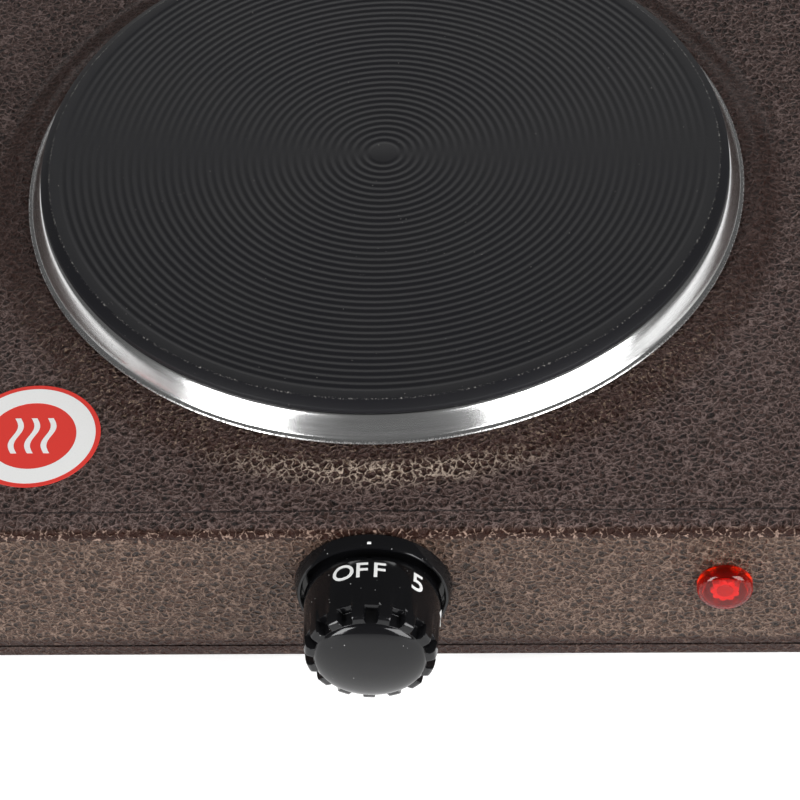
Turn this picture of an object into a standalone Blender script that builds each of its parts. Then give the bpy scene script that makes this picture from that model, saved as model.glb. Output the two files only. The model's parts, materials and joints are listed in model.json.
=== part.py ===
"""Single-burner table-top hot plate, modelled as an assembly of separate pieces.

Metres, +Z up, standing on its rubber feet at Z = 0, with the knob at the front (-Y).
The whole object hangs on one empty at the middle of the body, under the plate's axis.
"""

import math

import bmesh
import bpy
from mathutils import Matrix, Vector

# ---------------------------------------------------------------- driving dimensions

GAP = 0.0003                 # between pieces that touch
SHEET = 0.0008               # steel sheet of the cover and the tray

ROUND_STEPS = 48             # sides of the plate and its ring
SPIRAL_STEPS = 24            # sides to each turn of the winding

# Body
BODY_WIDTH = 0.245
BODY_DEPTH = 0.245
BODY_HEIGHT = 0.0495         # from under the tray to the top panel
CORNER_RADIUS = 0.012
FOLD_RADIUS = 0.003          # along the top edge
TRAY_BEND = 0.0015
TRAY_LIP = 0.0044            # visible height of the tray's wall
SEAM = 0.0006                # between the tray's lip and the cover
TRAY_UPSTAND = 0.006         # tray wall hidden inside the cover
FOOT_HEIGHT = 0.012
FOOT_RADIUS = 0.010
FOOT_INSET = 0.026           # foot axis from the body's sides
VENT_WIDTH = 0.003
VENT_LENGTH = 0.018
VENT_COUNT = 12              # in the tray, in a circle under the plate
VENT_CIRCLE = 0.045

# Cooking plate and what holds it
PLATE_RADIUS = 0.0925
PLATE_RISE = 0.013           # top of the plate above the panel
PLATE_CHAMFER = 0.0025
CHAMFER_DROP = 0.0017
RIM_HEIGHT = 0.0016          # plate side that shows above the ring
NECK_STEP = 0.0019           # the plate is narrower where the ring grips it
WALL_STEP = 0.004            # and again where it drops through the panel
RIB_DEPTH = 0.014            # plate thickness, over the ribs beneath it
EMBOSS_RISE = 0.0027         # raised land that the ring stands on
EMBOSS_LAND = 0.0055         # land outside the plate's radius
EMBOSS_SLOPE = 0.0105
RING_FOOT = 0.0041           # outside the plate's radius
RING_SHEET = 0.0008
CHANNEL_WIDTH = 0.011
CHANNEL_DEPTH = 0.009
CHANNEL_MARGIN = 0.0125      # spiral channel's outer end, inside the plate's wall
CHANNEL_TURNS = 2
CHANNEL_RIB = 0.005
COIL_RADIUS = 0.0025
STUD_RADIUS = 0.003
STUD_DEPTH = 0.006           # in the plate
NUT_HEIGHT = 0.005
BRIDGE_WIDTH = 0.024
BRIDGE_SHEET = 0.0015
BRIDGE_DROP = 0.0095         # underside of the bridge below the panel
REFLECTOR_MARGIN = 0.0125    # inside the plate's wall
REFLECTOR_SHEET = 0.0006

# Control
KNOB_DROP = 0.0205           # knob axis below the panel
KNOB_RADIUS = 0.0173
KNOB_LENGTH = 0.0277         # reach in front of the body
KNOB_REAR = 0.005            # clear of the bezel's rim
KNOB_TEETH = 15
KNOB_PHASE = math.radians(4)  # turn of the teeth from upright
DOME_RADIUS = 0.014
DOME_HEIGHT = 0.0037
RIB_START = 0.015
NOTCH_START = 0.020
NOTCH_RAMP = 0.0015
RIB_STEP = 0.0003            # ribs stand this far above the skirt between them
TOOTH_TAPER = 0.0006
TOOTH_CHAMFER = 0.0014
KNOB_WALL = 0.0023
KNOB_CAVITY = 0.009          # depth of the hollow round the hub
HUB_RADIUS = 0.0055
BEZEL_CLEAR = 0.0007         # between the knob and the rim round it
BEZEL_WALL = 0.0019
BEZEL_HEIGHT = 0.004
BEZEL_FLOOR = 0.001
BEZEL_RIM = 0.0009           # taper of its outside
SHAFT_RADIUS = 0.003
SHAFT_FLAT = 0.0015          # distance of the flat from the axis
SHAFT_FRONT = 0.019
SHAFT_REAR = 0.013
SPRING_SHEET = 0.0006
CONTROL_SCREW_PITCH = 0.022
PIN_RADIUS = 0.0016
BLADE_SHEET = 0.0005
BLADE_HEIGHT = 0.008
BLADE_PITCH = 0.004
BLADE_CLEAR = 0.002          # first blade behind the shaft's end
STACK_OFFSET = 0.024         # insulator stack beside the shaft
STACK_RADIUS = 0.006

# Pilot lamp
LAMP_X = 0.088
LAMP_DROP = 0.0203
LENS_RADIUS = 0.007
LENS_HEIGHT = 0.0043
LAMP_TUBE = 0.0052
LAMP_DEPTH = 0.022

# Supply
GLAND_X = -0.060
GLAND_Z = 0.034
GLAND_RADIUS = 0.010
GLAND_HEIGHT = 0.006         # reach behind the body
GLAND_THREAD = 0.006
GLAND_BORE = 0.00375
GLAND_DEPTH = 0.014
BLOCK_SIZE = (0.042, 0.018, 0.016)
BLOCK_BACK = 0.026           # block's middle from the back of the body
CLAMP_RADIUS = 0.003
CLAMP_PITCH = 0.012
EARTH_X = 0.020
WIRE_RADIUS = 0.0013

# Label on the panel
LABEL_RADIUS = 0.0175
LABEL_SHEET = 0.0002
LABEL_X = -0.0872
LABEL_Y = -0.0903

# Small screws
SCREW_RADIUS = 0.002
SCREW_HEAD = 0.0035
SCREW_HEAD_HEIGHT = 0.0025

# ---------------------------------------------------------------- places that follow

BODY_SHIFT = (KNOB_LENGTH - GLAND_HEIGHT) / 2
PANEL_Z = FOOT_HEIGHT + BODY_HEIGHT
LAND_Z = PANEL_Z + EMBOSS_RISE
PLATE_TOP = PANEL_Z + PLATE_RISE
RING_TOP = PLATE_TOP - CHAMFER_DROP - RIM_HEIGHT
NECK_RADIUS = PLATE_RADIUS - NECK_STEP
HOLE_RADIUS = PLATE_RADIUS - WALL_STEP
DROP_RADIUS = HOLE_RADIUS - 0.002
PLATE_BOTTOM = PLATE_TOP - RIB_DEPTH
CHANNEL_PITCH = CHANNEL_WIDTH + CHANNEL_RIB
CHANNEL_OUTER = HOLE_RADIUS - CHANNEL_MARGIN
CHANNEL_INNER = CHANNEL_OUTER - CHANNEL_TURNS * CHANNEL_PITCH
REFLECTOR_RADIUS = HOLE_RADIUS - REFLECTOR_MARGIN
COVER_RADIUS = DROP_RADIUS - 0.002
BRIDGE_TOP = PANEL_Z - BRIDGE_DROP + BRIDGE_SHEET
FRONT_Y = -BODY_DEPTH / 2
BACK_Y = BODY_DEPTH / 2
KNOB_Z = PANEL_Z - KNOB_DROP
INSIDE = -SHEET - GAP        # first free depth behind a body wall, in that wall's own frame
FLOOR_Z = FOOT_HEIGHT + SHEET + GAP
FACING_FRONT = (math.pi / 2, 0, 0)    # local +Z comes out of the front wall, local +Y is up
FACING_BACK = (-math.pi / 2, 0, 0)    # local +Z comes out of the back wall

FINISHES = {
    "hammertone paint": ((0.13, 0.085, 0.065), 0.35, 0.3),
    "cast iron": ((0.028, 0.028, 0.03), 0.6, 0.2),
    "polished steel": ((0.75, 0.75, 0.74), 0.15, 1.0),
    "zinc plate": ((0.55, 0.55, 0.56), 0.35, 1.0),
    "black plastic": ((0.01, 0.01, 0.011), 0.2, 0.0),
    "red lens": ((0.65, 0.02, 0.02), 0.1, 0.0),
    "glass": ((0.9, 0.75, 0.6), 0.05, 0.0),
    "rubber": ((0.02, 0.02, 0.02), 0.8, 0.0),
    "ceramic": ((0.8, 0.78, 0.72), 0.5, 0.0),
    "brass": ((0.7, 0.5, 0.2), 0.3, 1.0),
    "label": ((0.6, 0.05, 0.04), 0.4, 0.0),
    "wire cover": ((0.5, 0.45, 0.4), 0.6, 0.0),
}


# ---------------------------------------------------------------- modelling helpers

def clear_scene():
    for old in list(bpy.data.objects):
        bpy.data.objects.remove(old, do_unlink=True)


def make_finish(name):
    finish = bpy.data.materials.get(name)
    if finish is None:
        finish = bpy.data.materials.new(name)
        finish.use_nodes = True
        colour, roughness, metallic = FINISHES[name]
        shader = finish.node_tree.nodes["Principled BSDF"]
        shader.inputs["Base Color"].default_value = (*colour, 1)
        shader.inputs["Roughness"].default_value = roughness
        shader.inputs["Metallic"].default_value = metallic
        finish.diffuse_color = (*colour, 1)
    return finish


def frame_empty(name, at, turn=(0, 0, 0), parent=None):
    empty = bpy.data.objects.new(name, None)
    bpy.context.scene.collection.objects.link(empty)
    empty.parent = parent
    empty.location = at
    empty.rotation_euler = turn
    return empty


def add_piece(name, shape, finish, parent, at=(0, 0, 0), turn=(0, 0, 0)):
    """Turns a bmesh into an object with outward faces; finish None makes a cutter."""
    bmesh.ops.remove_doubles(shape, verts=shape.verts, dist=1e-7)
    bmesh.ops.recalc_face_normals(shape, faces=shape.faces)
    mesh = bpy.data.meshes.new(name)
    shape.to_mesh(mesh)
    shape.free()
    piece = bpy.data.objects.new(name, mesh)
    bpy.context.scene.collection.objects.link(piece)
    piece.parent = parent
    piece.location = at
    piece.rotation_euler = turn
    if finish is None:
        piece.hide_render = True
        piece.display_type = "WIRE"
    else:
        mesh.materials.append(make_finish(finish))
        mesh.shade_smooth()
        mesh.set_sharp_from_angle(angle=math.radians(35))
    return piece


def turned_shape(profile, steps=32):
    """Spins a closed profile of (radius, height) points about the local Z axis."""
    shape = bmesh.new()
    corners = [shape.verts.new((radius, 0, height)) for radius, height in profile]
    edges = [shape.edges.new(pair) for pair in zip(corners, corners[1:] + corners[:1])
             if pair[0].co.x > 1e-9 or pair[1].co.x > 1e-9]
    bmesh.ops.spin(shape, geom=corners + edges, cent=(0, 0, 0), axis=(0, 0, 1), dvec=(0, 0, 0),
                   angle=math.tau, steps=steps, use_merge=True, use_duplicate=False)
    return shape


def prism_shape(outline, low, high, shape=None):
    """Extrudes an outline of (x, y) points from one local height to another."""
    shape = shape or bmesh.new()
    face = shape.faces.new([shape.verts.new((x, y, low)) for x, y in outline])
    grown = bmesh.ops.extrude_face_region(shape, geom=[face])
    risen = [item for item in grown["geom"] if isinstance(item, bmesh.types.BMVert)]
    bmesh.ops.translate(shape, verts=risen, vec=(0, 0, high - low))
    return shape


def box_shape(low, high, shape=None):
    (x0, y0, z0), (x1, y1, z1) = low, high
    return prism_shape([(x0, y0), (x1, y0), (x1, y1), (x0, y1)], z0, z1, shape)


def circle_points(radius, steps, x=0, y=0, start=0.0):
    angles = [start + math.tau * i / steps for i in range(steps)]
    return [(x + radius * math.cos(a), y + radius * math.sin(a)) for a in angles]


def rod_profile(radius, low, high):
    return [(0, high), (radius, high), (radius, low), (0, low)]


def tube_profile(outer, inner, low, high):
    return [(outer, low), (outer, high), (inner, high), (inner, low)]


def combine(piece, shape, operation="DIFFERENCE"):
    """Cuts a shape, given in the piece's own frame, from the piece, or joins it on."""
    tool = add_piece(f"{piece.name}_tool_{len(piece.modifiers)}", shape, None, piece.parent,
                     piece.location, piece.rotation_euler)
    boolean = piece.modifiers.new("shape", "BOOLEAN")
    boolean.operation = operation
    boolean.solver = "EXACT"
    boolean.object = tool


def drill(piece, centres, radius, low, high, steps=16):
    """Cuts round holes along the piece's local Z."""
    shape = bmesh.new()
    for x, y in centres:
        prism_shape(circle_points(radius, steps, x, y), low, high, shape)
    combine(piece, shape)


def rounded_loop(inset, z):
    """A loop round the body, inset from its sides, with points close together in the corners."""
    half_x, half_y = BODY_WIDTH / 2 - inset, BODY_DEPTH / 2 - inset
    radius = max(CORNER_RADIUS - inset, 0.001)
    side_steps, corner_steps = 12, 5
    loop = []
    for quarter in range(4):
        along, across = (half_x, half_y) if quarter % 2 == 0 else (half_y, half_x)
        reach = math.atan2(along - radius, across)
        turn = Matrix.Rotation(quarter * math.pi / 2, 2)
        side = [(across * math.tan(reach * (2 * i / side_steps - 1)), -across)
                for i in range(side_steps)]
        corner = [(along - radius + radius * math.sin(a), -across + radius - radius * math.cos(a))
                  for a in [math.pi / 2 * i / corner_steps for i in range(corner_steps)]]
        loop += [(*(turn @ Vector(point)), z) for point in side + corner]
    return loop


def circle_loop(radius, z):
    """A circle with a point in the same direction as each point of the body's outline."""
    directions = [math.atan2(y, x) for x, y, _ in rounded_loop(0, z)]
    return [(radius * math.cos(a), radius * math.sin(a), z) for a in directions]


def sheet_metal(name, loops, close_last, parent):
    """Skins a list of loops, which run over the outside of the sheet, and thickens it inwards."""
    shape = bmesh.new()
    rows = [[shape.verts.new(point) for point in loop] for loop in loops]
    for row, following in zip(rows, rows[1:]):
        for i in range(len(row)):
            j = (i + 1) % len(row)
            shape.faces.new((row[i], row[j], following[j], following[i]))
    if close_last:
        shape.faces.new(rows[-1])
    piece = add_piece(name, shape, "hammertone paint", parent)
    wall = piece.modifiers.new("wall", "SOLIDIFY")
    wall.thickness = SHEET
    wall.offset = -1
    wall.use_even_offset = True
    return piece


def smooth_route(points, steps=4):
    """Points along a Catmull-Rom curve through the given points."""
    knots = [Vector(point) for point in points]
    knots = [2 * knots[0] - knots[1], *knots, 2 * knots[-1] - knots[-2]]
    route = []
    for a, b, c, d in zip(knots, knots[1:], knots[2:], knots[3:]):
        for i in range(steps):
            t = i / steps
            route.append((2 * b + (c - a) * t + (2 * a - 5 * b + 4 * c - d) * t ** 2
                          + (3 * b - a - 3 * c + d) * t ** 3) / 2)
    return [*route, knots[-2]]


def add_wire(name, points, parent):
    curve = bpy.data.curves.new(name, "CURVE")
    curve.dimensions = "3D"
    curve.bevel_depth = WIRE_RADIUS
    curve.bevel_resolution = 1
    curve.use_fill_caps = True
    route = smooth_route(points)
    spline = curve.splines.new("POLY")
    spline.points.add(len(route) - 1)
    for point, place in zip(spline.points, route):
        point.co = (*place, 1)
    curve.materials.append(make_finish("wire cover"))
    wire = bpy.data.objects.new(name, curve)
    bpy.context.scene.collection.objects.link(wire)
    wire.parent = parent
    return wire


# ---------------------------------------------------------------- body

def foot_places():
    x, y = BODY_WIDTH / 2 - FOOT_INSET, BODY_DEPTH / 2 - FOOT_INSET
    return {"front_left": (-x, -y), "front_right": (x, -y), "rear_left": (-x, y), "rear_right": (x, y)}


def build_top_cover(root):
    bottom = FOOT_HEIGHT + TRAY_LIP + SEAM
    loops = [rounded_loop(0, bottom), rounded_loop(0, PANEL_Z - FOLD_RADIUS)]
    fold_steps = 3
    for i in range(1, fold_steps + 1):
        a = math.pi / 2 * i / fold_steps
        loops.append(rounded_loop(FOLD_RADIUS * (1 - math.cos(a)),
                                  PANEL_Z - FOLD_RADIUS * (1 - math.sin(a))))
    land = PLATE_RADIUS + EMBOSS_LAND
    loops += [circle_loop(land + EMBOSS_SLOPE, PANEL_Z), circle_loop(land, LAND_Z),
              circle_loop(HOLE_RADIUS, LAND_Z)]
    cover = sheet_metal("top_cover", loops, False, root)
    through = 0.004
    openings = bmesh.new()
    knob_holes = [(0, SHAFT_RADIUS + 2 * GAP)]
    knob_holes += [(side * CONTROL_SCREW_PITCH / 2, SCREW_RADIUS - GAP) for side in (-1, 1)]
    for x, radius in knob_holes:
        prism_shape(circle_points(radius, 16, x, KNOB_Z), -FRONT_Y - through, -FRONT_Y + through, openings)
    prism_shape(circle_points(LAMP_TUBE + GAP, 20, LAMP_X, PANEL_Z - LAMP_DROP),
                -FRONT_Y - through, -FRONT_Y + through, openings)
    prism_shape(circle_points(GLAND_THREAD + GAP, 20, GLAND_X, GLAND_Z),
                -BACK_Y - through, -BACK_Y + through, openings)
    bmesh.ops.transform(openings, matrix=Matrix.Rotation(math.pi / 2, 4, "X"), verts=openings.verts)
    combine(cover, openings)
    vents = bmesh.new()
    for i in range(-3, 4):
        x = BODY_WIDTH / 6 + 3 * VENT_WIDTH * i
        box_shape((x - VENT_WIDTH / 2, BACK_Y - through, GLAND_Z - VENT_LENGTH / 2),
                  (x + VENT_WIDTH / 2, BACK_Y + through, GLAND_Z + VENT_LENGTH / 2), vents)
    combine(cover, vents)


def build_base_tray(root):
    inside = SHEET + GAP
    shelf = FOOT_HEIGHT + TRAY_LIP
    loops = [rounded_loop(inside, shelf + TRAY_UPSTAND), rounded_loop(inside, shelf), rounded_loop(0, shelf)]
    bend_steps = 2
    for i in range(bend_steps + 1):
        a = math.pi / 2 * i / bend_steps
        loops.append(rounded_loop(TRAY_BEND * (1 - math.cos(a)),
                                  FOOT_HEIGHT + TRAY_BEND * (1 - math.sin(a))))
    tray = sheet_metal("base_tray", loops, True, root)
    low, high = FOOT_HEIGHT - 0.002, FOOT_HEIGHT + 0.003
    holes = [*foot_places().values(), (EARTH_X, BACK_Y - BLOCK_BACK), block_screw_place()]
    drill(tray, holes, SCREW_RADIUS + GAP, low, high)
    vents = bmesh.new()
    for i in range(VENT_COUNT):
        slot = box_shape((VENT_CIRCLE - VENT_LENGTH / 2, -VENT_WIDTH / 2, low),
                         (VENT_CIRCLE + VENT_LENGTH / 2, VENT_WIDTH / 2, high))
        bmesh.ops.rotate(slot, verts=slot.verts, matrix=Matrix.Rotation(math.tau * i / VENT_COUNT, 3, "Z"))
        copy = bpy.data.meshes.new("slot")
        slot.to_mesh(copy)
        slot.free()
        vents.from_mesh(copy)
        bpy.data.meshes.remove(copy)
    combine(tray, vents)


def build_feet(root):
    """Rubber feet, their screws, and the brackets inside that the screws pull on."""
    recess = 0.005
    bracket_sheet, bracket_width, bracket_height = 0.0012, 0.016, 0.028
    for corner, (x, y) in foot_places().items():
        top = FOOT_HEIGHT - GAP
        add_piece(f"foot_{corner}", turned_shape([
            (SCREW_RADIUS + GAP, top), (FOOT_RADIUS - 0.0015, top), (FOOT_RADIUS, 0.002),
            (FOOT_RADIUS - 0.001, 0), (SCREW_HEAD + 0.001, 0), (SCREW_HEAD + 0.001, recess),
            (SCREW_RADIUS + GAP, recess)], 24), "rubber", root, (x, y, 0))
        seat = recess - GAP
        end = FLOOR_Z + bracket_sheet + 0.003
        add_piece(f"foot_screw_{corner}", turned_shape([
            (0, end), (SCREW_RADIUS, end), (SCREW_RADIUS, seat), (SCREW_HEAD, seat),
            (SCREW_HEAD, seat - SCREW_HEAD_HEIGHT / 2), (SCREW_HEAD * 0.6, seat - SCREW_HEAD_HEIGHT),
            (0, seat - SCREW_HEAD_HEIGHT)], 12), "zinc plate", root, (x, y, 0))
        side = math.copysign(1, x)
        wall = FOOT_INSET - 2 * SHEET - 2 * GAP      # from the screw to the tray's upstand
        outline = [(-bracket_width / 2, 0), (wall, 0), (wall, bracket_height),
                   (wall - bracket_sheet, bracket_height), (wall - bracket_sheet, bracket_sheet),
                   (-bracket_width / 2, bracket_sheet)]
        outline = [(side * across, up) for across, up in outline]
        shape = prism_shape(outline, -bracket_width / 2, bracket_width / 2)
        bmesh.ops.transform(shape, matrix=Matrix.Rotation(math.pi / 2, 4, "X"), verts=shape.verts)
        bracket = add_piece(f"corner_bracket_{corner}", shape, "zinc plate", root, (x, y, FLOOR_Z))
        drill(bracket, [(0, 0)], SCREW_RADIUS + GAP, -0.001, bracket_sheet + 0.001, 12)


# ---------------------------------------------------------------- cooking plate

def spiral_shape(section, start_turn=0.0, end_turn=CHANNEL_TURNS):
    """Sweeps a closed section of (across, height) points along the channel's spiral."""
    shape = bmesh.new()
    steps = round(SPIRAL_STEPS * (end_turn - start_turn))
    rows = []
    for i in range(steps + 1):
        turn = start_turn + (end_turn - start_turn) * i / steps
        a = math.pi / 2 + math.tau * turn
        middle = CHANNEL_INNER + CHANNEL_PITCH * turn
        rows.append([shape.verts.new(((middle + across) * math.cos(a), (middle + across) * math.sin(a), z))
                     for across, z in section])
    count = len(section)
    for row, following in zip(rows, rows[1:]):
        for i in range(count):
            j = (i + 1) % count
            shape.faces.new((row[i], row[j], following[j], following[i]))
    shape.faces.new(rows[0])
    shape.faces.new(rows[-1])
    return shape


def build_heating_plate(root):
    rim_low = PLATE_TOP - CHAMFER_DROP - RIM_HEIGHT + GAP
    outer_floor = LAND_Z + 0.001
    plate = add_piece("heating_plate", turned_shape([
        (0, PLATE_TOP), (PLATE_RADIUS - PLATE_CHAMFER, PLATE_TOP), (PLATE_RADIUS, PLATE_TOP - CHAMFER_DROP),
        (PLATE_RADIUS, rim_low), (NECK_RADIUS, rim_low), (NECK_RADIUS, outer_floor),
        (DROP_RADIUS, outer_floor), (DROP_RADIUS, PLATE_BOTTOM), (0, PLATE_BOTTOM)], ROUND_STEPS),
        "cast iron", root)
    half, roof, below = CHANNEL_WIDTH / 2, PLATE_BOTTOM + CHANNEL_DEPTH, PLATE_BOTTOM - 0.002
    margin = 1 / SPIRAL_STEPS                   # of a turn, past each end of the packing
    combine(plate, spiral_shape([(-half, below), (half, below), (half, roof), (-half, roof)],
                                -margin, CHANNEL_TURNS + margin))
    drill(plate, [(0, 0)], STUD_RADIUS + GAP, below, PLATE_BOTTOM + STUD_DEPTH + GAP)


def build_trim_ring(root):
    foot_z = LAND_Z + GAP
    foot, top = PLATE_RADIUS + RING_FOOT, RING_TOP
    wall, t = RING_FOOT - 0.0011, RING_SHEET
    lip = NECK_RADIUS + GAP
    r = PLATE_RADIUS
    add_piece("trim_ring", turned_shape([
        (foot, foot_z), (foot, foot_z + 0.0005), (r + wall, foot_z + 0.0009),
        (r + wall - 0.0002, foot_z + (top - foot_z) * 0.45), (r + wall - 0.0009, top - 0.0012),
        (r + 0.0014, top - 0.0002), (r + 0.0006, top), (lip, top), (lip, top - t), (r + 0.0005, top - t),
        (r + wall - 0.0009 - t, top - 0.0012 - t), (r + wall - 0.0002 - t, foot_z + (top - foot_z) * 0.45),
        (r + wall - t, foot_z)], ROUND_STEPS), "polished steel", root)


def build_heater(root):
    """The winding in its spiral channel, the packing round it, and the terminals beneath."""
    half = CHANNEL_WIDTH / 2 - GAP
    roof = PLATE_BOTTOM + CHANNEL_DEPTH - GAP
    slot = COIL_RADIUS + GAP
    seat = PLATE_BOTTOM + 0.0065
    add_piece("coil_packing", spiral_shape([
        (-half, PLATE_BOTTOM), (-slot, PLATE_BOTTOM), (-slot, seat), (slot, seat), (slot, PLATE_BOTTOM),
        (half, PLATE_BOTTOM), (half, roof), (-half, roof)]), "ceramic", root)
    height = seat - GAP - COIL_RADIUS
    add_piece("heating_coil", spiral_shape([(x, height + y) for x, y in circle_points(COIL_RADIUS, 6)]),
              "zinc plate", root)
    pin_radius, reach = 0.0012, 0.007
    ceramic_low, ceramic_high = PLATE_BOTTOM - SHEET - 2 * GAP - 0.006, PLATE_BOTTOM - SHEET - 2 * GAP
    ends = {"inner": CHANNEL_INNER, "outer": CHANNEL_OUTER}
    block = add_piece("terminal_ceramic", box_shape(
        (-0.006, CHANNEL_INNER - 0.006, ceramic_low), (0.006, CHANNEL_OUTER + 0.006, ceramic_high)),
        "ceramic", root)
    shift = 0.0025                              # pins stand just inside the ends of the winding
    places = {"inner": (-shift, ends["inner"]), "outer": (shift, ends["outer"])}
    drill(block, places.values(), pin_radius + GAP, ceramic_low - 0.001, ceramic_high + 0.001, 12)
    for end, (x, y) in places.items():
        add_piece(f"plate_terminal_{end}", turned_shape(rod_profile(
            pin_radius, ceramic_low - reach, height - COIL_RADIUS - GAP), 12), "brass", root, (x, y, 0))
    return places, pin_radius, ceramic_low - reach


def build_plate_fixing(root, pins, pin_radius):
    """Everything that the stud under the plate clamps together, from the top down."""
    top = PLATE_BOTTOM - GAP
    pan = add_piece("plate_cover", turned_shape([
        (STUD_RADIUS + GAP, top), (COVER_RADIUS, top), (COVER_RADIUS, top - 0.0025),
        (COVER_RADIUS - SHEET, top - 0.0025), (COVER_RADIUS - SHEET, top - SHEET),
        (STUD_RADIUS + GAP, top - SHEET)], 36), "zinc plate", root)
    drill(pan, pins.values(), pin_radius + GAP, top - 0.002, top + 0.002, 12)
    leg = HOLE_RADIUS + 0.0005
    shelf = LAND_Z - SHEET - GAP
    t = BRIDGE_SHEET
    low = BRIDGE_TOP - t
    half = [(leg + 0.008, shelf), (leg + 0.008, shelf - t), (leg, shelf - t), (leg, low)]
    upper = [(leg - t, low + t), (leg - t, shelf)]
    outline = half + [(-x, z) for x, z in reversed(half)]
    outline += [(-x, z) for x, z in reversed(upper)] + upper
    shape = prism_shape(outline, -BRIDGE_WIDTH / 2, BRIDGE_WIDTH / 2)
    bmesh.ops.transform(shape, matrix=Matrix.Rotation(math.pi / 2, 4, "X"), verts=shape.verts)
    bridge = add_piece("mounting_bridge", shape, "zinc plate", root)
    drill(bridge, [(0, 0)], STUD_RADIUS + GAP, low - 0.001, low + t + 0.001)
    face = low - GAP
    reflector = add_piece("heat_reflector", turned_shape([
        (STUD_RADIUS + GAP, face), (REFLECTOR_RADIUS, face), (REFLECTOR_RADIUS, face - 0.003),
        (REFLECTOR_RADIUS - REFLECTOR_SHEET, face - 0.003),
        (REFLECTOR_RADIUS - REFLECTOR_SHEET, face - REFLECTOR_SHEET),
        (STUD_RADIUS + GAP, face - REFLECTOR_SHEET)], 36), "polished steel", root)
    combine(reflector, box_shape((-0.009, CHANNEL_INNER - 0.009, face - 0.005),
                                 (0.009, CHANNEL_OUTER + 0.009, face + 0.002)))
    face -= REFLECTOR_SHEET + GAP
    add_piece("stud_washer", turned_shape(tube_profile(
        0.008, STUD_RADIUS + GAP, face - 0.0012, face), 20), "zinc plate", root)
    face -= 0.0012 + GAP
    nut = add_piece("stud_nut", prism_shape(circle_points(0.0057, 6), face - NUT_HEIGHT, face),
                    "zinc plate", root)
    drill(nut, [(0, 0)], STUD_RADIUS + GAP, face - NUT_HEIGHT - 0.001, face + 0.001)
    add_piece("centre_stud", turned_shape(rod_profile(
        STUD_RADIUS, face - NUT_HEIGHT - 0.002, PLATE_BOTTOM + STUD_DEPTH), 16), "zinc plate", root)
    return low - GAP - REFLECTOR_SHEET


# ---------------------------------------------------------------- control

def build_knob(front):
    """A skirt with a notched grip in front of it, closed by a shallow dome."""
    half_tooth, half_gap = math.radians(6.1), math.radians(8.3)
    period = math.tau / KNOB_TEETH
    edge_break = 0.0004
    grip_end = KNOB_LENGTH - DOME_HEIGHT
    rib = KNOB_RADIUS - RIB_STEP
    tip = rib - TOOTH_TAPER
    chamfered = tip - TOOTH_CHAMFER
    stations = [(KNOB_REAR, KNOB_RADIUS - edge_break, 0), (KNOB_REAR + edge_break, KNOB_RADIUS, 0),
                (RIB_START, rib, 0), (NOTCH_START, rib, RIB_STEP),
                (NOTCH_START + NOTCH_RAMP, rib, rib - DOME_RADIUS),
                (grip_end - TOOTH_CHAMFER / 2, tip, tip - DOME_RADIUS),
                (grip_end, chamfered, chamfered - DOME_RADIUS)]
    dome_steps = 4
    dome_seat = DOME_RADIUS - edge_break / 4
    for i in range(dome_steps):
        a = math.pi / 2 * i / dome_steps
        stations.append((grip_end + DOME_HEIGHT * math.sin(a), dome_seat * math.cos(a), 0))
    shape = bmesh.new()
    rows = []
    for height, radius, depth in stations:
        row = []
        for i in range(KNOB_TEETH):
            middle = math.pi / 2 - KNOB_PHASE + period * (i + 0.5)
            for offset, cut in ((-half_tooth, 0), (half_tooth, 0), (half_gap, depth),
                                (period - half_gap, depth)):
                a = middle + offset
                across = radius - cut
                row.append(shape.verts.new((across * math.cos(a), across * math.sin(a), height)))
        rows.append(row)
    for row, following in zip(rows, rows[1:]):
        for i in range(len(row)):
            j = (i + 1) % len(row)
            shape.faces.new((row[i], row[j], following[j], following[i]))
    crown = shape.verts.new((0, 0, KNOB_LENGTH))
    for i in range(len(rows[-1])):
        shape.faces.new((rows[-1][i], rows[-1][(i + 1) % len(rows[-1])], crown))
    shape.faces.new(rows[0])
    knob = add_piece("knob", shape, "black plastic", front)
    combine(knob, turned_shape(tube_profile(KNOB_RADIUS - KNOB_WALL, HUB_RADIUS, 0,
                                            KNOB_REAR + KNOB_CAVITY), 36))
    bore = SHAFT_RADIUS + GAP
    flat = SHAFT_FLAT + SPRING_SHEET + 2 * GAP
    reach = math.asin(flat / bore)
    bore_steps = 16
    arc = [math.pi - reach + (math.pi + 2 * reach) * i / bore_steps for i in range(bore_steps + 1)]
    combine(knob, prism_shape([(bore * math.cos(a), bore * math.sin(a)) for a in arc],
                              0, SHAFT_FRONT + GAP))
    mark, mark_depth = 0.0012, 0.001            # index notch in the skirt's rear edge
    combine(knob, box_shape((-mark / 2, KNOB_RADIUS - mark_depth, 0),
                            (mark / 2, KNOB_RADIUS + mark_depth, KNOB_REAR + mark)))
    half_spring, spring_start, spring_short = 0.0015, 0.003, 0.001
    add_piece("knob_spring", box_shape(
        (-half_spring, SHAFT_FLAT + GAP, KNOB_REAR + spring_start),
        (half_spring, SHAFT_FLAT + GAP + SPRING_SHEET, SHAFT_FRONT - spring_short)),
        "zinc plate", front)


def build_bezel(front):
    step = KNOB_RADIUS + BEZEL_CLEAR
    outside = step + BEZEL_WALL
    bezel = add_piece("knob_bezel", turned_shape([
        (SHAFT_RADIUS + 2 * GAP, GAP), (outside, GAP), (outside - BEZEL_RIM, BEZEL_HEIGHT),
        (step + 0.0006, BEZEL_HEIGHT), (step, BEZEL_HEIGHT - 0.0006), (step, BEZEL_FLOOR + GAP),
        (SHAFT_RADIUS + 2 * GAP, BEZEL_FLOOR + GAP)], 36), "black plastic", front)
    places = [(side * CONTROL_SCREW_PITCH / 2, 0) for side in (-1, 1)]
    drill(bezel, places, SCREW_RADIUS - GAP, -0.001, BEZEL_HEIGHT, 12)


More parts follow.
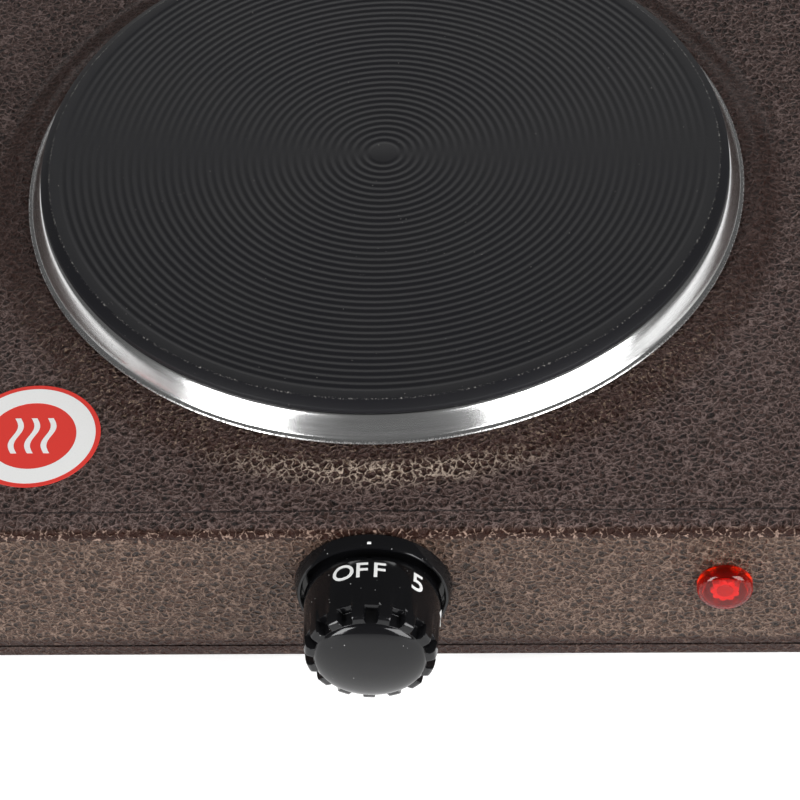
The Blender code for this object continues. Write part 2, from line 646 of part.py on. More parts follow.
def build_thermostat(front):
    """Behind the front wall: the fixing plate, the insulator stack with its blades, and the shaft."""
    plate_sheet = 0.0012
    face = INSIDE
    left, right, half_height = -STACK_OFFSET - 0.010, CONTROL_SCREW_PITCH / 2 + 0.005, 0.010
    plate = add_piece("thermostat_plate", box_shape((left, -half_height, face - plate_sheet),
                                                    (right, half_height, face)), "zinc plate", front)
    bush = SHAFT_RADIUS + GAP
    drill(plate, [(0, 0)], bush, face - 0.003, face + 0.001)
    screw, rivet = 0.0015, 0.0014
    screw_x = CONTROL_SCREW_PITCH / 2
    drill(plate, [(-screw_x, 0), (screw_x, 0)], screw + GAP, face - 0.003, face + 0.001, 12)
    drill(plate, [(-STACK_OFFSET, 0)], rivet + GAP, face - 0.003, face + 0.001, 12)
    head = BEZEL_FLOOR + 2 * GAP
    for side, x in (("left", -screw_x), ("right", screw_x)):
        add_piece(f"control_screw_{side}", turned_shape([
            (0, head + 0.0016), (0.0018, head + 0.0016), (0.0028, head + 0.0008), (0.0028, head),
            (screw, head), (screw, face - plate_sheet - 0.003), (0, face - plate_sheet - 0.003)], 12),
            "zinc plate", front, (x, 0, 0))
    first = face - plate_sheet - GAP
    blades = [-SHAFT_REAR - BLADE_CLEAR - BLADE_PITCH * count for count in (0, 1, 2.5)]
    stack_end = blades[-1] - 0.005
    stack = add_piece("insulator_stack", turned_shape(tube_profile(
        STACK_RADIUS, rivet + GAP, stack_end, first), 20), "ceramic", front, (-STACK_OFFSET, 0, 0))
    slots = bmesh.new()
    for level in blades:
        box_shape((-STACK_RADIUS - 0.001, -BLADE_HEIGHT / 2 - GAP, level - BLADE_SHEET - GAP),
                  (STACK_RADIUS + 0.001, BLADE_HEIGHT / 2 + GAP, level + GAP), slots)
    combine(stack, slots)
    add_piece("stack_rivet", turned_shape([
        (0, stack_end - 0.0012), (0.003, stack_end - 0.0012), (0.003, stack_end - GAP),
        (rivet, stack_end - GAP), (rivet, face - GAP), (0, face - GAP)][::-1], 12),
        "zinc plate", front, (-STACK_OFFSET, 0, 0))
    names = ["fixed_contact_blade", "spring_contact_blade", "bimetal_strip"]
    tail = [0.007, 0.004, 0.008]
    for name, level, reach in zip(names, blades, tail):
        blade = add_piece(name, box_shape(
            (-STACK_OFFSET - STACK_RADIUS - 0.008, -BLADE_HEIGHT / 2, level - BLADE_SHEET),
            (reach, BLADE_HEIGHT / 2, level)), "brass", front)
        drill(blade, [(-STACK_OFFSET, 0)], rivet + GAP, level - 0.001, level + 0.001, 12)
        if name == "fixed_contact_blade":
            drill(blade, [(0, 0)], PIN_RADIUS + 2 * GAP, level - 0.001, level + 0.001, 12)
    build_shaft(front, first, blades[1] + GAP)
    return front.matrix_basis @ Vector((-STACK_OFFSET - STACK_RADIUS - 0.008 - GAP, 0, blades[0]))


def build_shaft(front, collar_face, pin_tip):
    """The turning shaft, and the ceramic pin that its thread draws in and out."""
    rear = -SHAFT_REAR
    pin_bore, bore_depth = PIN_RADIUS + GAP, 0.005
    collar = 0.0045
    shaft = add_piece("control_shaft", turned_shape([
        (0, SHAFT_FRONT), (SHAFT_RADIUS, SHAFT_FRONT), (SHAFT_RADIUS, collar_face),
        (collar, collar_face), (collar, collar_face - 0.002), (SHAFT_RADIUS, collar_face - 0.002),
        (SHAFT_RADIUS, rear), (pin_bore, rear), (pin_bore, rear + bore_depth), (0, rear + bore_depth)], 24),
        "zinc plate", front)
    combine(shaft, box_shape((-SHAFT_RADIUS - 0.001, SHAFT_FLAT, KNOB_REAR - GAP),
                             (SHAFT_RADIUS + 0.001, SHAFT_RADIUS + 0.001, SHAFT_FRONT + 0.001)))
    add_piece("adjuster_pin", turned_shape(rod_profile(
        PIN_RADIUS, pin_tip, rear + bore_depth - 0.0015), 12), "ceramic", front)


def build_lamp(root):
    lamp = frame_empty("lamp_axis", (LAMP_X, FRONT_Y, PANEL_Z - LAMP_DROP), FACING_FRONT, root)
    wall = 0.0012
    add_piece("lamp_lens", turned_shape([
        (LAMP_TUBE + GAP, GAP), (LENS_RADIUS, GAP), (LENS_RADIUS, LENS_HEIGHT - 0.0016),
        (LENS_RADIUS - 0.0008, LENS_HEIGHT - 0.0006), (LENS_RADIUS - 0.0022, LENS_HEIGHT),
        (0, LENS_HEIGHT), (0, LENS_HEIGHT - wall), (LAMP_TUBE + GAP, LENS_HEIGHT - wall)], 28),
        "red lens", lamp)
    inner = LAMP_TUBE - 0.0012
    mouth = LENS_HEIGHT - wall - GAP
    add_piece("lamp_holder", turned_shape(tube_profile(LAMP_TUBE, inner, -LAMP_DEPTH, mouth), 20),
              "black plastic", lamp)
    bulb, tip = inner - 0.0008, mouth - 0.001
    add_piece("lamp_bulb", turned_shape([
        (0, tip), (bulb * 0.6, tip - 0.0008), (bulb, tip - 0.0028), (bulb, -LAMP_DEPTH + 0.004),
        (0, -LAMP_DEPTH + 0.004)], 16), "glass", lamp)
    add_piece("lamp_nut", turned_shape(tube_profile(
        LAMP_TUBE + 0.004, LAMP_TUBE + GAP, INSIDE - 0.0008, INSIDE), 20), "zinc plate", lamp)


# ---------------------------------------------------------------- supply and wiring

def block_screw_place():
    return (GLAND_X + CLAMP_PITCH / 2, BACK_Y - BLOCK_BACK)


def build_supply(root):
    """The cord's gland in the back wall and the terminal block in front of it."""
    gland = frame_empty("gland_axis", (GLAND_X, BACK_Y, GLAND_Z), FACING_BACK, root)
    add_piece("cord_gland", turned_shape([
        (GLAND_BORE, GLAND_HEIGHT), (GLAND_RADIUS - 0.003, GLAND_HEIGHT), (GLAND_RADIUS, 0.002),
        (GLAND_RADIUS, GAP), (GLAND_THREAD, GAP), (GLAND_THREAD, -GLAND_DEPTH),
        (GLAND_BORE, -GLAND_DEPTH)], 24), "black plastic", gland)
    nut = add_piece("gland_nut", prism_shape(circle_points(GLAND_THREAD + 0.0035, 6), INSIDE - 0.004, INSIDE),
                    "black plastic", gland)
    drill(nut, [(0, 0)], GLAND_THREAD + GAP, INSIDE - 0.005, INSIDE + 0.001, 20)
    width, depth, height = BLOCK_SIZE
    middle = Vector((GLAND_X, BACK_Y - BLOCK_BACK, FLOOR_Z + height / 2))
    block = add_piece("terminal_block", box_shape(
        (-width / 2, -depth / 2, -height / 2), (width / 2, depth / 2, height / 2)), "ceramic", root, middle)
    bores = bmesh.new()
    poles = {"live": -CLAMP_PITCH, "neutral": 0.0, "earth": CLAMP_PITCH}
    for x in poles.values():
        prism_shape(circle_points(CLAMP_RADIUS + GAP, 16, x, 0.001), -depth, depth, bores)
    bmesh.ops.transform(bores, matrix=Matrix.Rotation(math.pi / 2, 4, "X"), verts=bores.verts)
    combine(block, bores)
    between = CLAMP_PITCH / 2
    drill(block, [(between, 0)], SCREW_RADIUS + GAP, -height, height, 12)
    clamp_wall = CLAMP_RADIUS - WIRE_RADIUS - GAP
    ends = {}
    for pole, x in poles.items():
        add_piece(f"terminal_clamp_{pole}", turned_shape(tube_profile(
            CLAMP_RADIUS, CLAMP_RADIUS - clamp_wall, -depth / 2 + 0.001, depth / 2 - 0.001), 16),
            "brass", root, middle + Vector((x, 0, 0.001)), FACING_FRONT)
        ends[pole] = middle + Vector((x, -depth / 4, 0.001))
    top = height / 2 + GAP
    add_piece("terminal_block_screw", turned_shape([
        (0, top + SCREW_HEAD_HEIGHT), (SCREW_HEAD * 0.6, top + SCREW_HEAD_HEIGHT),
        (SCREW_HEAD, top + SCREW_HEAD_HEIGHT / 2), (SCREW_HEAD, top), (SCREW_RADIUS, top),
        (SCREW_RADIUS, -height / 2 - SHEET - GAP), (0, -height / 2 - SHEET - GAP)], 12),
        "zinc plate", root, middle + Vector((between, 0, 0)))
    return ends


def build_earth(root):
    """The earth screw through the tray and the lug that it clamps."""
    y = BACK_Y - BLOCK_BACK
    lug_sheet, lug_radius, lug_length = 0.001, 0.0045, 0.016
    outline = circle_points(lug_radius, 12, 0, 0, math.pi / 12)
    ring = [(x, z) for x, z in outline if x > -lug_radius * 0.8]
    ring = sorted(ring, key=lambda p: math.atan2(p[1], p[0]))
    outline = ring + [(-lug_length, 0.002), (-lug_length, -0.002)]
    lug = add_piece("earth_lug", prism_shape(outline, 0, lug_sheet), "brass", root, (EARTH_X, y, FLOOR_Z))
    drill(lug, [(0, 0)], SCREW_RADIUS + GAP, -0.001, lug_sheet + 0.001, 12)
    top = FLOOR_Z + lug_sheet + GAP
    add_piece("earth_screw", turned_shape([
        (0, top + SCREW_HEAD_HEIGHT), (SCREW_HEAD * 0.6, top + SCREW_HEAD_HEIGHT),
        (SCREW_HEAD, top + SCREW_HEAD_HEIGHT / 2), (SCREW_HEAD, top), (SCREW_RADIUS, top),
        (SCREW_RADIUS, FOOT_HEIGHT - 0.001), (0, FOOT_HEIGHT - 0.001)], 12), "zinc plate", root,
        (EARTH_X, y, 0))
    return Vector((EARTH_X - lug_length - GAP, y, FLOOR_Z + WIRE_RADIUS))


def out_of_clamp(start):
    """The straight stretch of a wire from inside its clamp to clear of the terminal block."""
    return [start, start - Vector((0, 0.004, 0)), start - Vector((0, 0.0085, 0))]


def build_wires(root, clamps, pins, pin_low, cutout, blade_end, lug_end):
    """Leads inside the body: supply to thermostat, thermostat to plate, plate back to supply."""
    pin_low -= GAP
    run_z = FLOOR_Z + 0.006
    left = -BODY_WIDTH / 2 + 0.034
    add_wire("wire_live", [*out_of_clamp(clamps["live"]), clamps["live"] + Vector((-0.006, -0.022, -0.002)),
                           (left, 0.03, run_z), (left, -0.06, run_z),
                           blade_end + Vector((-0.016, 0.016, -0.008)), blade_end + Vector((-0.007, 0, 0)),
                           blade_end - Vector((GAP, 0, 0))], root)
    x, y = pins["outer"]
    add_wire("wire_switched", [cutout - Vector((0, 0, GAP)), cutout - Vector((0, 0, 0.004)),
                               cutout + Vector((0, 0.006, -0.012)), (x + 0.016, y * 0.8, run_z + 0.006),
                               (x, y, pin_low - 0.010), (x, y, pin_low - 0.004), (x, y, pin_low)], root)
    x, y = pins["inner"]
    add_wire("wire_neutral", [*out_of_clamp(clamps["neutral"]),
                              clamps["neutral"] + Vector((0.004, -0.018, 0)),
                              (x - 0.018, y * 1.1, run_z + 0.004), (x, y, pin_low - 0.009),
                              (x, y, pin_low - 0.004), (x, y, pin_low)], root)
    add_wire("wire_earth", [*out_of_clamp(clamps["earth"]), clamps["earth"] + Vector((0.006, -0.020, -0.003)),
                            lug_end + Vector((-0.022, -0.014, 0.004)), lug_end + Vector((-0.006, 0, 0.0003)),
                            lug_end], root)


def build_thermal_cutout(root, ceiling):
    """A button cut-out pressed against the reflector's underside."""
    x, y, radius, height = 0.034, -0.022, 0.008, 0.007
    add_piece("thermal_cutout", turned_shape([
        (0, ceiling - GAP), (radius - 0.001, ceiling - GAP), (radius, ceiling - GAP - 0.001),
        (radius, ceiling - GAP - height), (radius + 0.002, ceiling - GAP - height),
        (radius + 0.002, ceiling - 2 * GAP - height - 0.001), (0, ceiling - 2 * GAP - height - 0.001)], 20),
        "zinc plate", root, (x, y, 0))
    return Vector((x, y, ceiling - 2 * GAP - height - 0.001))


def build_label(root):
    low = PANEL_Z + GAP
    add_piece("top_label", turned_shape(rod_profile(LABEL_RADIUS, low, low + LABEL_SHEET), 32),
              "label", root, (LABEL_X, LABEL_Y, 0))


# ---------------------------------------------------------------- assembly

def build_hot_plate():
    clear_scene()
    root = frame_empty("hot_plate", (0, BODY_SHIFT, 0))
    front = frame_empty("front_axis", (0, FRONT_Y, KNOB_Z), FACING_FRONT, root)
    build_top_cover(root)
    build_base_tray(root)
    build_feet(root)
    build_heating_plate(root)
    build_trim_ring(root)
    pins, pin_radius, pin_low = build_heater(root)
    ceiling = build_plate_fixing(root, pins, pin_radius)
    cutout = build_thermal_cutout(root, ceiling)
    build_knob(front)
    build_bezel(front)
    blade_end = build_thermostat(front)
    build_lamp(root)
    clamps = build_supply(root)
    lug_end = build_earth(root)
    build_wires(root, clamps, pins, pin_low, cutout, blade_end, lug_end)
    build_label(root)


build_hot_plate()
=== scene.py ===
"""Single-burner table-top hot plate: its finished surfaces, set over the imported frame.

Every place is read from the frame. Metres, +Z up, front at -Y.
"""

import json
import math
from collections import Counter

import bpy
from mathutils import Matrix, Vector


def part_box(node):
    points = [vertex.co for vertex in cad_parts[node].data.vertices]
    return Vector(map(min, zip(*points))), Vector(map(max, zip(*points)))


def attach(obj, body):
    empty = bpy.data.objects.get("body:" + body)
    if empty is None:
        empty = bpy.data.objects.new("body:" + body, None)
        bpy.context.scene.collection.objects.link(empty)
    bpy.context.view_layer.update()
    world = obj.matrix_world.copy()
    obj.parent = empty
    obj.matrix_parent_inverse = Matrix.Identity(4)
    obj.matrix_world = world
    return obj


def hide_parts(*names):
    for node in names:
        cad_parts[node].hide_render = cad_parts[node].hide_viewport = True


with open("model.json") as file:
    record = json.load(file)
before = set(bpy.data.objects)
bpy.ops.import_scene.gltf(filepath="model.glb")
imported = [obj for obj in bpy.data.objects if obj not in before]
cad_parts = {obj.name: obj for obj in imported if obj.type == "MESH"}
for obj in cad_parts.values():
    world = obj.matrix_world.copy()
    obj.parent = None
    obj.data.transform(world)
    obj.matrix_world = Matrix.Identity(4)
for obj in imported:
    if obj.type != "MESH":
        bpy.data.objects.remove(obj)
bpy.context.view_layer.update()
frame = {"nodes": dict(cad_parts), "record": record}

# ---------------------------------------------------------------- places, from the frame

MM = 1000.0         # patterns are drawn in millimetres
NEAR = 1e-6         # places nearer than this are the same place


def half_width(low, high):
    """The radius of a round piece, from the corners of its box."""
    return (high.x - low.x) / 2


def over_floor(low, high, z=0.0):
    """The middle of a box, seen from above, at a height."""
    return Vector(((low.x + high.x) / 2, (low.y + high.y) / 2, z))


def on_wall(low, high, y):
    """The middle of a box, seen from the front, on a wall."""
    return Vector(((low.x + high.x) / 2, y, (low.z + high.z) / 2))


COVER_LOW, COVER_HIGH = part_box("top_cover")
TRAY_LOW, TRAY_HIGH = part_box("base_tray")
PLATE_LOW, PLATE_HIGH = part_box("heating_plate")
RING_LOW, RING_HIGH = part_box("trim_ring")
KNOB_LOW, KNOB_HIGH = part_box("knob")
BEZEL_LOW, BEZEL_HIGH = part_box("knob_bezel")
LENS_LOW, LENS_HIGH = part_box("lamp_lens")
HOLDER_LOW, HOLDER_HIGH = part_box("lamp_holder")
LABEL_LOW, LABEL_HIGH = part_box("top_label")
GLAND_LOW, GLAND_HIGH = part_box("cord_gland")
FOOT_SIDES = ("front_left", "front_right", "rear_left", "rear_right")

PLATE_RADIUS = half_width(PLATE_LOW, PLATE_HIGH)
RING_RADIUS = half_width(RING_LOW, RING_HIGH)
KNOB_RADIUS = half_width(KNOB_LOW, KNOB_HIGH)
CENTRE = over_floor(PLATE_LOW, PLATE_HIGH)
FRONT_Y, BACK_Y = COVER_LOW.y, COVER_HIGH.y
KNOB_AT = on_wall(BEZEL_LOW, BEZEL_HIGH, FRONT_Y)
LAMP_AT = on_wall(LENS_LOW, LENS_HIGH, FRONT_Y)
GLAND_AT = on_wall(GLAND_LOW, GLAND_HIGH, BACK_Y)
FACING_FRONT = (math.pi / 2, 0, 0)      # local +Z out of the front wall, local +Y up
FACING_BACK = (-math.pi / 2, 0, 0)

# the pressed sheet: wall, corners seen from above, rolled top edge
SHEET = 0.0008
CORNER = 0.012
FOLD = 0.003

# the round land that the plate stands on, and the line pressed near the front
EMBOSS_RISE = 0.0027
LAND_Z = COVER_HIGH.z
PANEL_Z = LAND_Z - EMBOSS_RISE
HOLE_RADIUS = PLATE_RADIUS - 0.004
LAND_RADIUS = PLATE_RADIUS + 0.0055
SLOPE_RADIUS = LAND_RADIUS + 0.0105
CREASE_Y = FRONT_Y + 0.0066
CREASE_HALF = 0.0006
CREASE_DEEP = 0.0002

# hole radii: the knob's shaft, the two screws beside it, the cord, and the screws up through the feet
SHAFT_HOLE = 0.0036
SCREW_HOLE = 0.0017
SCREW_REACH = 0.011         # from the shaft to each screw beside it
CORD_HOLE = 0.0063
FOOT_BORE = 0.0023


# ---------------------------------------------------------------- materials

class Value:
    """A number in a material's nodes, so that its maths reads as arithmetic."""

    def __init__(self, finish, socket):
        self.finish, self.socket = finish, socket

    def maths(self, operation, *inputs):
        node = self.finish.node("ShaderNodeMath", {"operation": operation}, dict(enumerate(inputs)))
        return Value(self.finish, node.outputs[0])

    def __add__(self, other):
        return self.maths("ADD", self, other)

    def __sub__(self, other):
        return self.maths("SUBTRACT", self, other)

    def __rsub__(self, other):
        return self.maths("SUBTRACT", other, self)

    def __mul__(self, other):
        return self.maths("MULTIPLY", self, other)

    def __pow__(self, other):
        return self.maths("POWER", self, other)

    __radd__, __rmul__ = __add__, __mul__

    def least(self, other):
        return self.maths("MINIMUM", self, other)

    def most(self, other):
        return self.maths("MAXIMUM", self, other)

    def out_with(self, other):
        """The distance from an axis, from two places square to it."""
        return (self ** 2 + other ** 2) ** 0.5

    def angle_from(self, other):
        """The angle round an axis, from two places square to it."""
        return self.maths("ARCTAN2", self, other)

    def step(self, low, high):
        """0 below low, 1 above high, and smooth between; low may be the larger."""
        values = {"Value": self, "From Min": low, "From Max": high}
        node = self.finish.node("ShaderNodeMapRange", {"interpolation_type": "SMOOTHSTEP"}, values)
        return Value(self.finish, node.outputs["Result"])


class Finish:
    """One material: a Principled shader and the nodes that feed it."""

    def __init__(self, name, **constants):
        self.material = bpy.data.materials.new(name)
        self.material.use_nodes = True
        self.tree = self.material.node_tree
        self.shader = self.tree.nodes["Principled BSDF"]
        for socket, value in constants.items():
            self.feed(self.shader.inputs[socket.replace("_", " ")], value)

    def feed(self, socket, value):
        value = value.socket if isinstance(value, Value) else value
        if isinstance(value, bpy.types.NodeSocket):
            self.tree.links.new(value, socket)
        elif isinstance(value, tuple) and socket.type == "RGBA" and len(value) == 3:
            socket.default_value = (*value, 1)
        else:
            socket.default_value = value

    def node(self, kind, settings=None, values=None):
        node = self.tree.nodes.new(kind)
        for name, value in (settings or {}).items():
            setattr(node, name, value)
        for name, value in (values or {}).items():
            self.feed(node.inputs[name], value)
        return node

    def place(self, centre=(0, 0, 0)):
        """Object coordinates in millimetres, measured from a centre."""
        values = {"Vector": self.node("ShaderNodeTexCoord").outputs["Object"],
                  "Location": tuple(-MM * c for c in centre), "Scale": (MM, MM, MM)}
        return self.node("ShaderNodeMapping", {}, values).outputs[0]

    def axes(self, vector):
        parts = self.node("ShaderNodeSeparateXYZ", {}, {"Vector": vector}).outputs
        return [Value(self, part) for part in parts]

    def noise(self, vector, scale, detail=2.0, roughness=0.5):
        values = {"Vector": vector, "Scale": scale, "Detail": detail, "Roughness": roughness}
        return Value(self, self.node("ShaderNodeTexNoise", {}, values).outputs["Fac"])

    def cells(self, vector, scale, feature="DISTANCE_TO_EDGE"):
        node = self.node("ShaderNodeTexVoronoi", {"feature": feature}, {"Vector": vector, "Scale": scale})
        return Value(self, node.outputs["Distance"])

    def vector(self, operation, values):
        return self.node("ShaderNodeVectorMath", {"operation": operation}, values).outputs[0]

    def wobble(self, vector, scale, amount):
        """The same coordinates, pushed about by noise, so that no pattern looks ruled."""
        drift = self.node("ShaderNodeTexNoise", {}, {"Vector": vector, "Scale": scale, "Detail": 2.0})
        middle = self.vector("SUBTRACT", {0: drift.outputs["Color"], 1: (0.5, 0.5, 0.5)})
        push = self.vector("SCALE", {0: middle, "Scale": amount})
        return self.vector("ADD", {0: vector, 1: push})

    def mix(self, amount, first, second):
        """The first colour, with the second laid over it by an amount from 0 to 1."""
        values = {0: amount, 6: first, 7: second}
        return self.node("ShaderNodeMix", {"data_type": "RGBA"}, values).outputs[2]

    def glow(self, colour):
        self.feed(self.shader.inputs["Emission Color"], colour)

    def wear(self, colour, roughness, metallic=None, height=None, relief=0.0001, strength=1.0):
        """Links what varies over the surface, with its relief in metres."""
        for name, value in (("Base Color", colour), ("Roughness", roughness), ("Metallic", metallic)):
            if value is not None:
                self.feed(self.shader.inputs[name], value)
        if height is not None:
            values = {"Strength": strength, "Distance": relief, "Height": height}
            self.feed(self.shader.inputs["Normal"], self.node("ShaderNodeBump", {}, values).outputs[0])
        return self.material


def hammertone():
    """Brown hammered enamel: dark dimples and broken pale veins, with painted light over them: painted
    shade, dark and redder, over the folds, the strip above the seam and the slope round the land; a painted
    sheen over the top; painted glints and highlights; and painted shade along the pressed crease and in the
    gap at the cover's lower edge.
    """
    paint = Finish("hammertone_paint", Specular_IOR_Level=0.22, Coat_Weight=0.06, Coat_Roughness=0.15)
    at = paint.place()
    soft = paint.wobble(at, 0.50, 1.8)
    crinkled = paint.wobble(soft, 1.4, 0.75)
    edge = paint.cells(crinkled, 0.50)
    small = paint.cells(paint.wobble(soft, 2.2, 0.6), 0.85)
    broad = paint.noise(at, 0.16, 3.0)
    patch = paint.noise(crinkled, 0.9, 3.0, 0.6)
    blot = paint.noise(soft, 0.62, 4.0, 0.62)
    vein = edge.step(0.115, 0.015) * patch.step(0.36, 0.54)
    hair = small.step(0.09, 0.01) * patch.step(0.62, 0.44)
    dimple = edge.step(0.02, 0.40)
    pit = edge.step(0.08, 0.28) * blot.step(0.60, 0.45)

    # places on the body, in millimetres
    x, y, z = paint.axes(paint.place(CENTRE))
    radius, ahead = x.out_with(y), 0 - y
    panel, hem = PANEL_Z * MM, COVER_LOW.z * MM
    land, slope_end = LAND_RADIUS * MM, SLOPE_RADIUS * MM
    top = z.step(panel - 1.2, panel - 0.2)
    slope = radius.step(slope_end + 2.0, slope_end - 5.0) * top
    fold = z.step(panel - 3.6, panel - 2.8) * (1 - top)
    seam = z.step(hem + 3.5, hem + 1.0)
    # painted shade: near black in the narrow gap at the cover's lower edge, where it meets the tray
    gap = z.step(hem - 0.70, hem - 0.50) * z.step(hem + 0.20, hem + 0.02)
    # painted shade: a dark line along the pressed crease on the top
    crease = ((y - (CREASE_Y - CENTRE.y) * MM) ** 2).step(0.16, 0.02) * top
    # thin is painted shade: it darkens the slope round the land, the rolled fold and the strip above the
    # seam to a dark red-brown
    thin = (slope * 0.66 + (fold + seam).least(1.0) * 0.92).least(1.0)

    # painted highlights: glints along the folds, specks on the front half of the slope, and bright veins
    # where the ring shines on it
    glint = (fold + seam * 0.35).step(0.2, 0.8) * edge.step(0.12, 0.02) * patch.step(0.44, 0.58)
    speck = slope * small.step(0.14, 0.03) * patch.step(0.50, 0.62) * ahead.step(20.0, 80.0)
    lit = ahead.step(land * 0.955, land * 1.07) * radius.step(land + 2.0, land + 5.0) * slope
    shine = lit * edge.step(0.12, 0.03) * patch.step(0.34, 0.50)

    # the brown is the paint's own colour; the top's copy of it, and the top's paler veins, are painted
    # sheen: the same paint drawn lighter and greyer where it reflects the lights
    brown = paint.mix(pit, (0.056, 0.0262, 0.0164), (0.0058, 0.0025, 0.0015))
    top_with_painted_sheen = paint.mix(pit, (0.062, 0.0335, 0.0285), (0.0044, 0.0025, 0.0023))
    vein_colour = paint.mix(top, (0.190, 0.126, 0.094), (0.190, 0.134, 0.122))
    colour = paint.mix(top, brown, top_with_painted_sheen)
    # laid over the paint: a darker random tone and the pale veins, then painted light: shade over the folds
    # and slope, painted glints, specks and highlight veins, and painted shade along the crease and in the
    # seam gap
    for amount, layer in (
            (broad.step(0.35, 0.68) * 0.35, (0.022, 0.0100, 0.0042)),
            ((vein * 0.9 + hair * 0.6).least(1.0), vein_colour),
            (thin, (0.024, 0.0062, 0.0030)),
            (glint * 0.62, (0.42, 0.29, 0.23)),
            (speck * 0.55, (0.34, 0.25, 0.18)),
            (shine, (0.45, 0.36, 0.29)),
            (crease * 0.75, (0.008, 0.005, 0.005)),
            (gap * 0.95, (0.0015, 0.0010, 0.0008))):
        colour = paint.mix(amount, colour, layer)
    height = vein * 0.5 + hair * 0.35 - dimple * 0.9 - pit * 0.4 + patch * 0.3
    roughness = 0.32 + patch * 0.16 - vein * 0.08
    return paint.wear(colour, roughness, 0.12, height, 0.0007, 1.0)


def iron():
    """Dark coated casting: fine grain, a few bright specks and a rubbed line round the rim."""
    metal = Finish("cast_iron", Specular_IOR_Level=0.26)
    at = metal.place()
    grain = metal.noise(at, 3.2, 4.0, 0.65)
    cloud = metal.noise(at, 0.045, 2.0)
    few = metal.noise(at, 0.21, 1.0).step(0.60, 0.68) * metal.noise(at, 1.7, 0.0).step(0.50, 0.58)
    speck = metal.cells(at, 0.9, "F1").step(0.10, 0.05) * few
    x, y, _ = metal.axes(metal.place(CENTRE))
    radius, rim = x.out_with(y), PLATE_RADIUS * MM
    edge = radius.step(rim - 2.85, rim - 2.6) * radius.step(rim - 2.2, rim - 2.4)
    rubbed = edge * metal.noise(at, 1.9, 3.0, 0.7).step(0.54, 0.66)
    bare = speck.most(rubbed * 0.40)
    colour = metal.mix(grain, (0.0040, 0.0040, 0.0054), (0.0074, 0.0074, 0.0098))
    colour = metal.mix(cloud.step(0.35, 0.75) * 0.30, colour, (0.0095, 0.0095, 0.0100))
    colour = metal.mix(bare, colour, (0.62, 0.60, 0.56))
    roughness = 0.38 + grain * 0.16 - bare * 0.1
    return metal.wear(colour, roughness, bare * 0.8, grain, 0.00006, 0.55)


def polished_steel():
    """Bright spun steel: faint scratches run round it, and its foot is pitted."""
    steel = Finish("polished_steel")
    x, y, z = steel.axes(steel.place(CENTRE))
    radius, foot_edge = x.out_with(y), RING_RADIUS * MM
    unrolled = {"X": radius * 7.0, "Y": y.angle_from(x) * 5.0, "Z": z * 7.0}
    scratch = steel.noise(steel.node("ShaderNodeCombineXYZ", {}, unrolled).outputs[0], 1.0, 4.0, 0.7)
    smear = steel.noise(steel.place(), 0.10, 3.0)
    foot = radius.step(foot_edge - 0.9, foot_edge - 0.2)
    pitted = steel.noise(steel.place(), 1.4, 2.0).step(0.47, 0.60) * foot
    colour = steel.mix(smear * 0.22, (0.82, 0.82, 0.815), (0.62, 0.62, 0.63))
    colour = steel.mix(pitted * 0.85, colour, (0.09, 0.08, 0.075))
    roughness = 0.10 + scratch * 0.10 + smear * 0.06 + pitted * 0.3
    return steel.wear(colour, roughness, 1.0, scratch, 0.00002, 0.35)


def black_plastic():
    """Glossy black moulding with a few pale dust specks."""
    plastic = Finish("black_plastic", Specular_IOR_Level=0.30, Coat_Weight=0.04, Coat_Roughness=0.06)
    at = plastic.place()
    ripple = plastic.noise(at, 0.32, 2.0)
    film = plastic.noise(at, 0.14, 3.0)
    few = plastic.noise(at, 0.3, 0.0).step(0.45, 0.60)
    dust = plastic.cells(at, 0.42, "F1").step(0.075, 0.045) * few
    colour = plastic.mix(dust * 0.75, (0.0042, 0.0042, 0.0048), (0.45, 0.45, 0.44))
    roughness = 0.09 + film * 0.07 + dust * 0.5
    return plastic.wear(colour, roughness, 0.0, ripple, 0.00003, 0.25)


def moulded(name, dark, light, roughness, grain_scale, metallic=0.0, relief=0.00003):
    """Any plain moulded, plated or fired finish: two close tones, in a grain of its own size."""
    stuff = Finish(name)
    at = stuff.place()
    grain = stuff.noise(at, grain_scale, 4.0, 0.6)
    stain = stuff.noise(at, 0.12, 3.0)
    colour = stuff.mix(grain, dark, light)
    colour = stuff.mix(stain.step(0.45, 0.75) * 0.25, colour, darker(dark, 0.6))
    return stuff.wear(colour, roughness + grain * 0.14 - 0.07, metallic, grain, relief, 0.6)


def darker(colour, share):
    return tuple(c * share for c in colour)


def clear(name, colour, transmission, roughness, glow=0.0):
    """Clear red or pale glassy moulding; a slight ripple keeps its shine from looking drawn."""
    glassy = Finish(name, IOR=1.37, Transmission_Weight=transmission, Emission_Strength=glow)
    at = glassy.place()
    ripple = glassy.noise(at, 0.5, 2.0)
    deep = glassy.mix(glassy.noise(at, 0.8, 1.0) * 0.3, colour, darker(colour, 0.7))
    glassy.glow(deep)
    return glassy.wear(deep, roughness + ripple * 0.04, 0.0, ripple, 0.00003, 0.3)


def lamp_red(name, colour, glow):
    """The lit-looking mouldings behind the lens."""
    star = Finish(name, Emission_Strength=glow)
    rib = star.noise(star.place(LAMP_AT), 1.1, 2.0)
    shade = star.mix(rib * 0.6, colour, darker(colour, 0.6))
    star.glow(shade)
    return star.wear(shade, 0.25 + rib * 0.1, 0.0, rib, 0.00005, 0.5)


def print_ink(name, colour, roughness=0.42):
    """Printed or moulded-in colour, a little thin in places."""
    ink = Finish(name)
    thin = ink.noise(ink.place(), 2.4, 2.0)
    tone = ink.mix(thin.step(0.5, 0.75) * 0.16, colour, darker(colour, 0.75))
    return ink.wear(tone, roughness + thin * 0.08, 0.0, thin, 0.00001, 0.4)


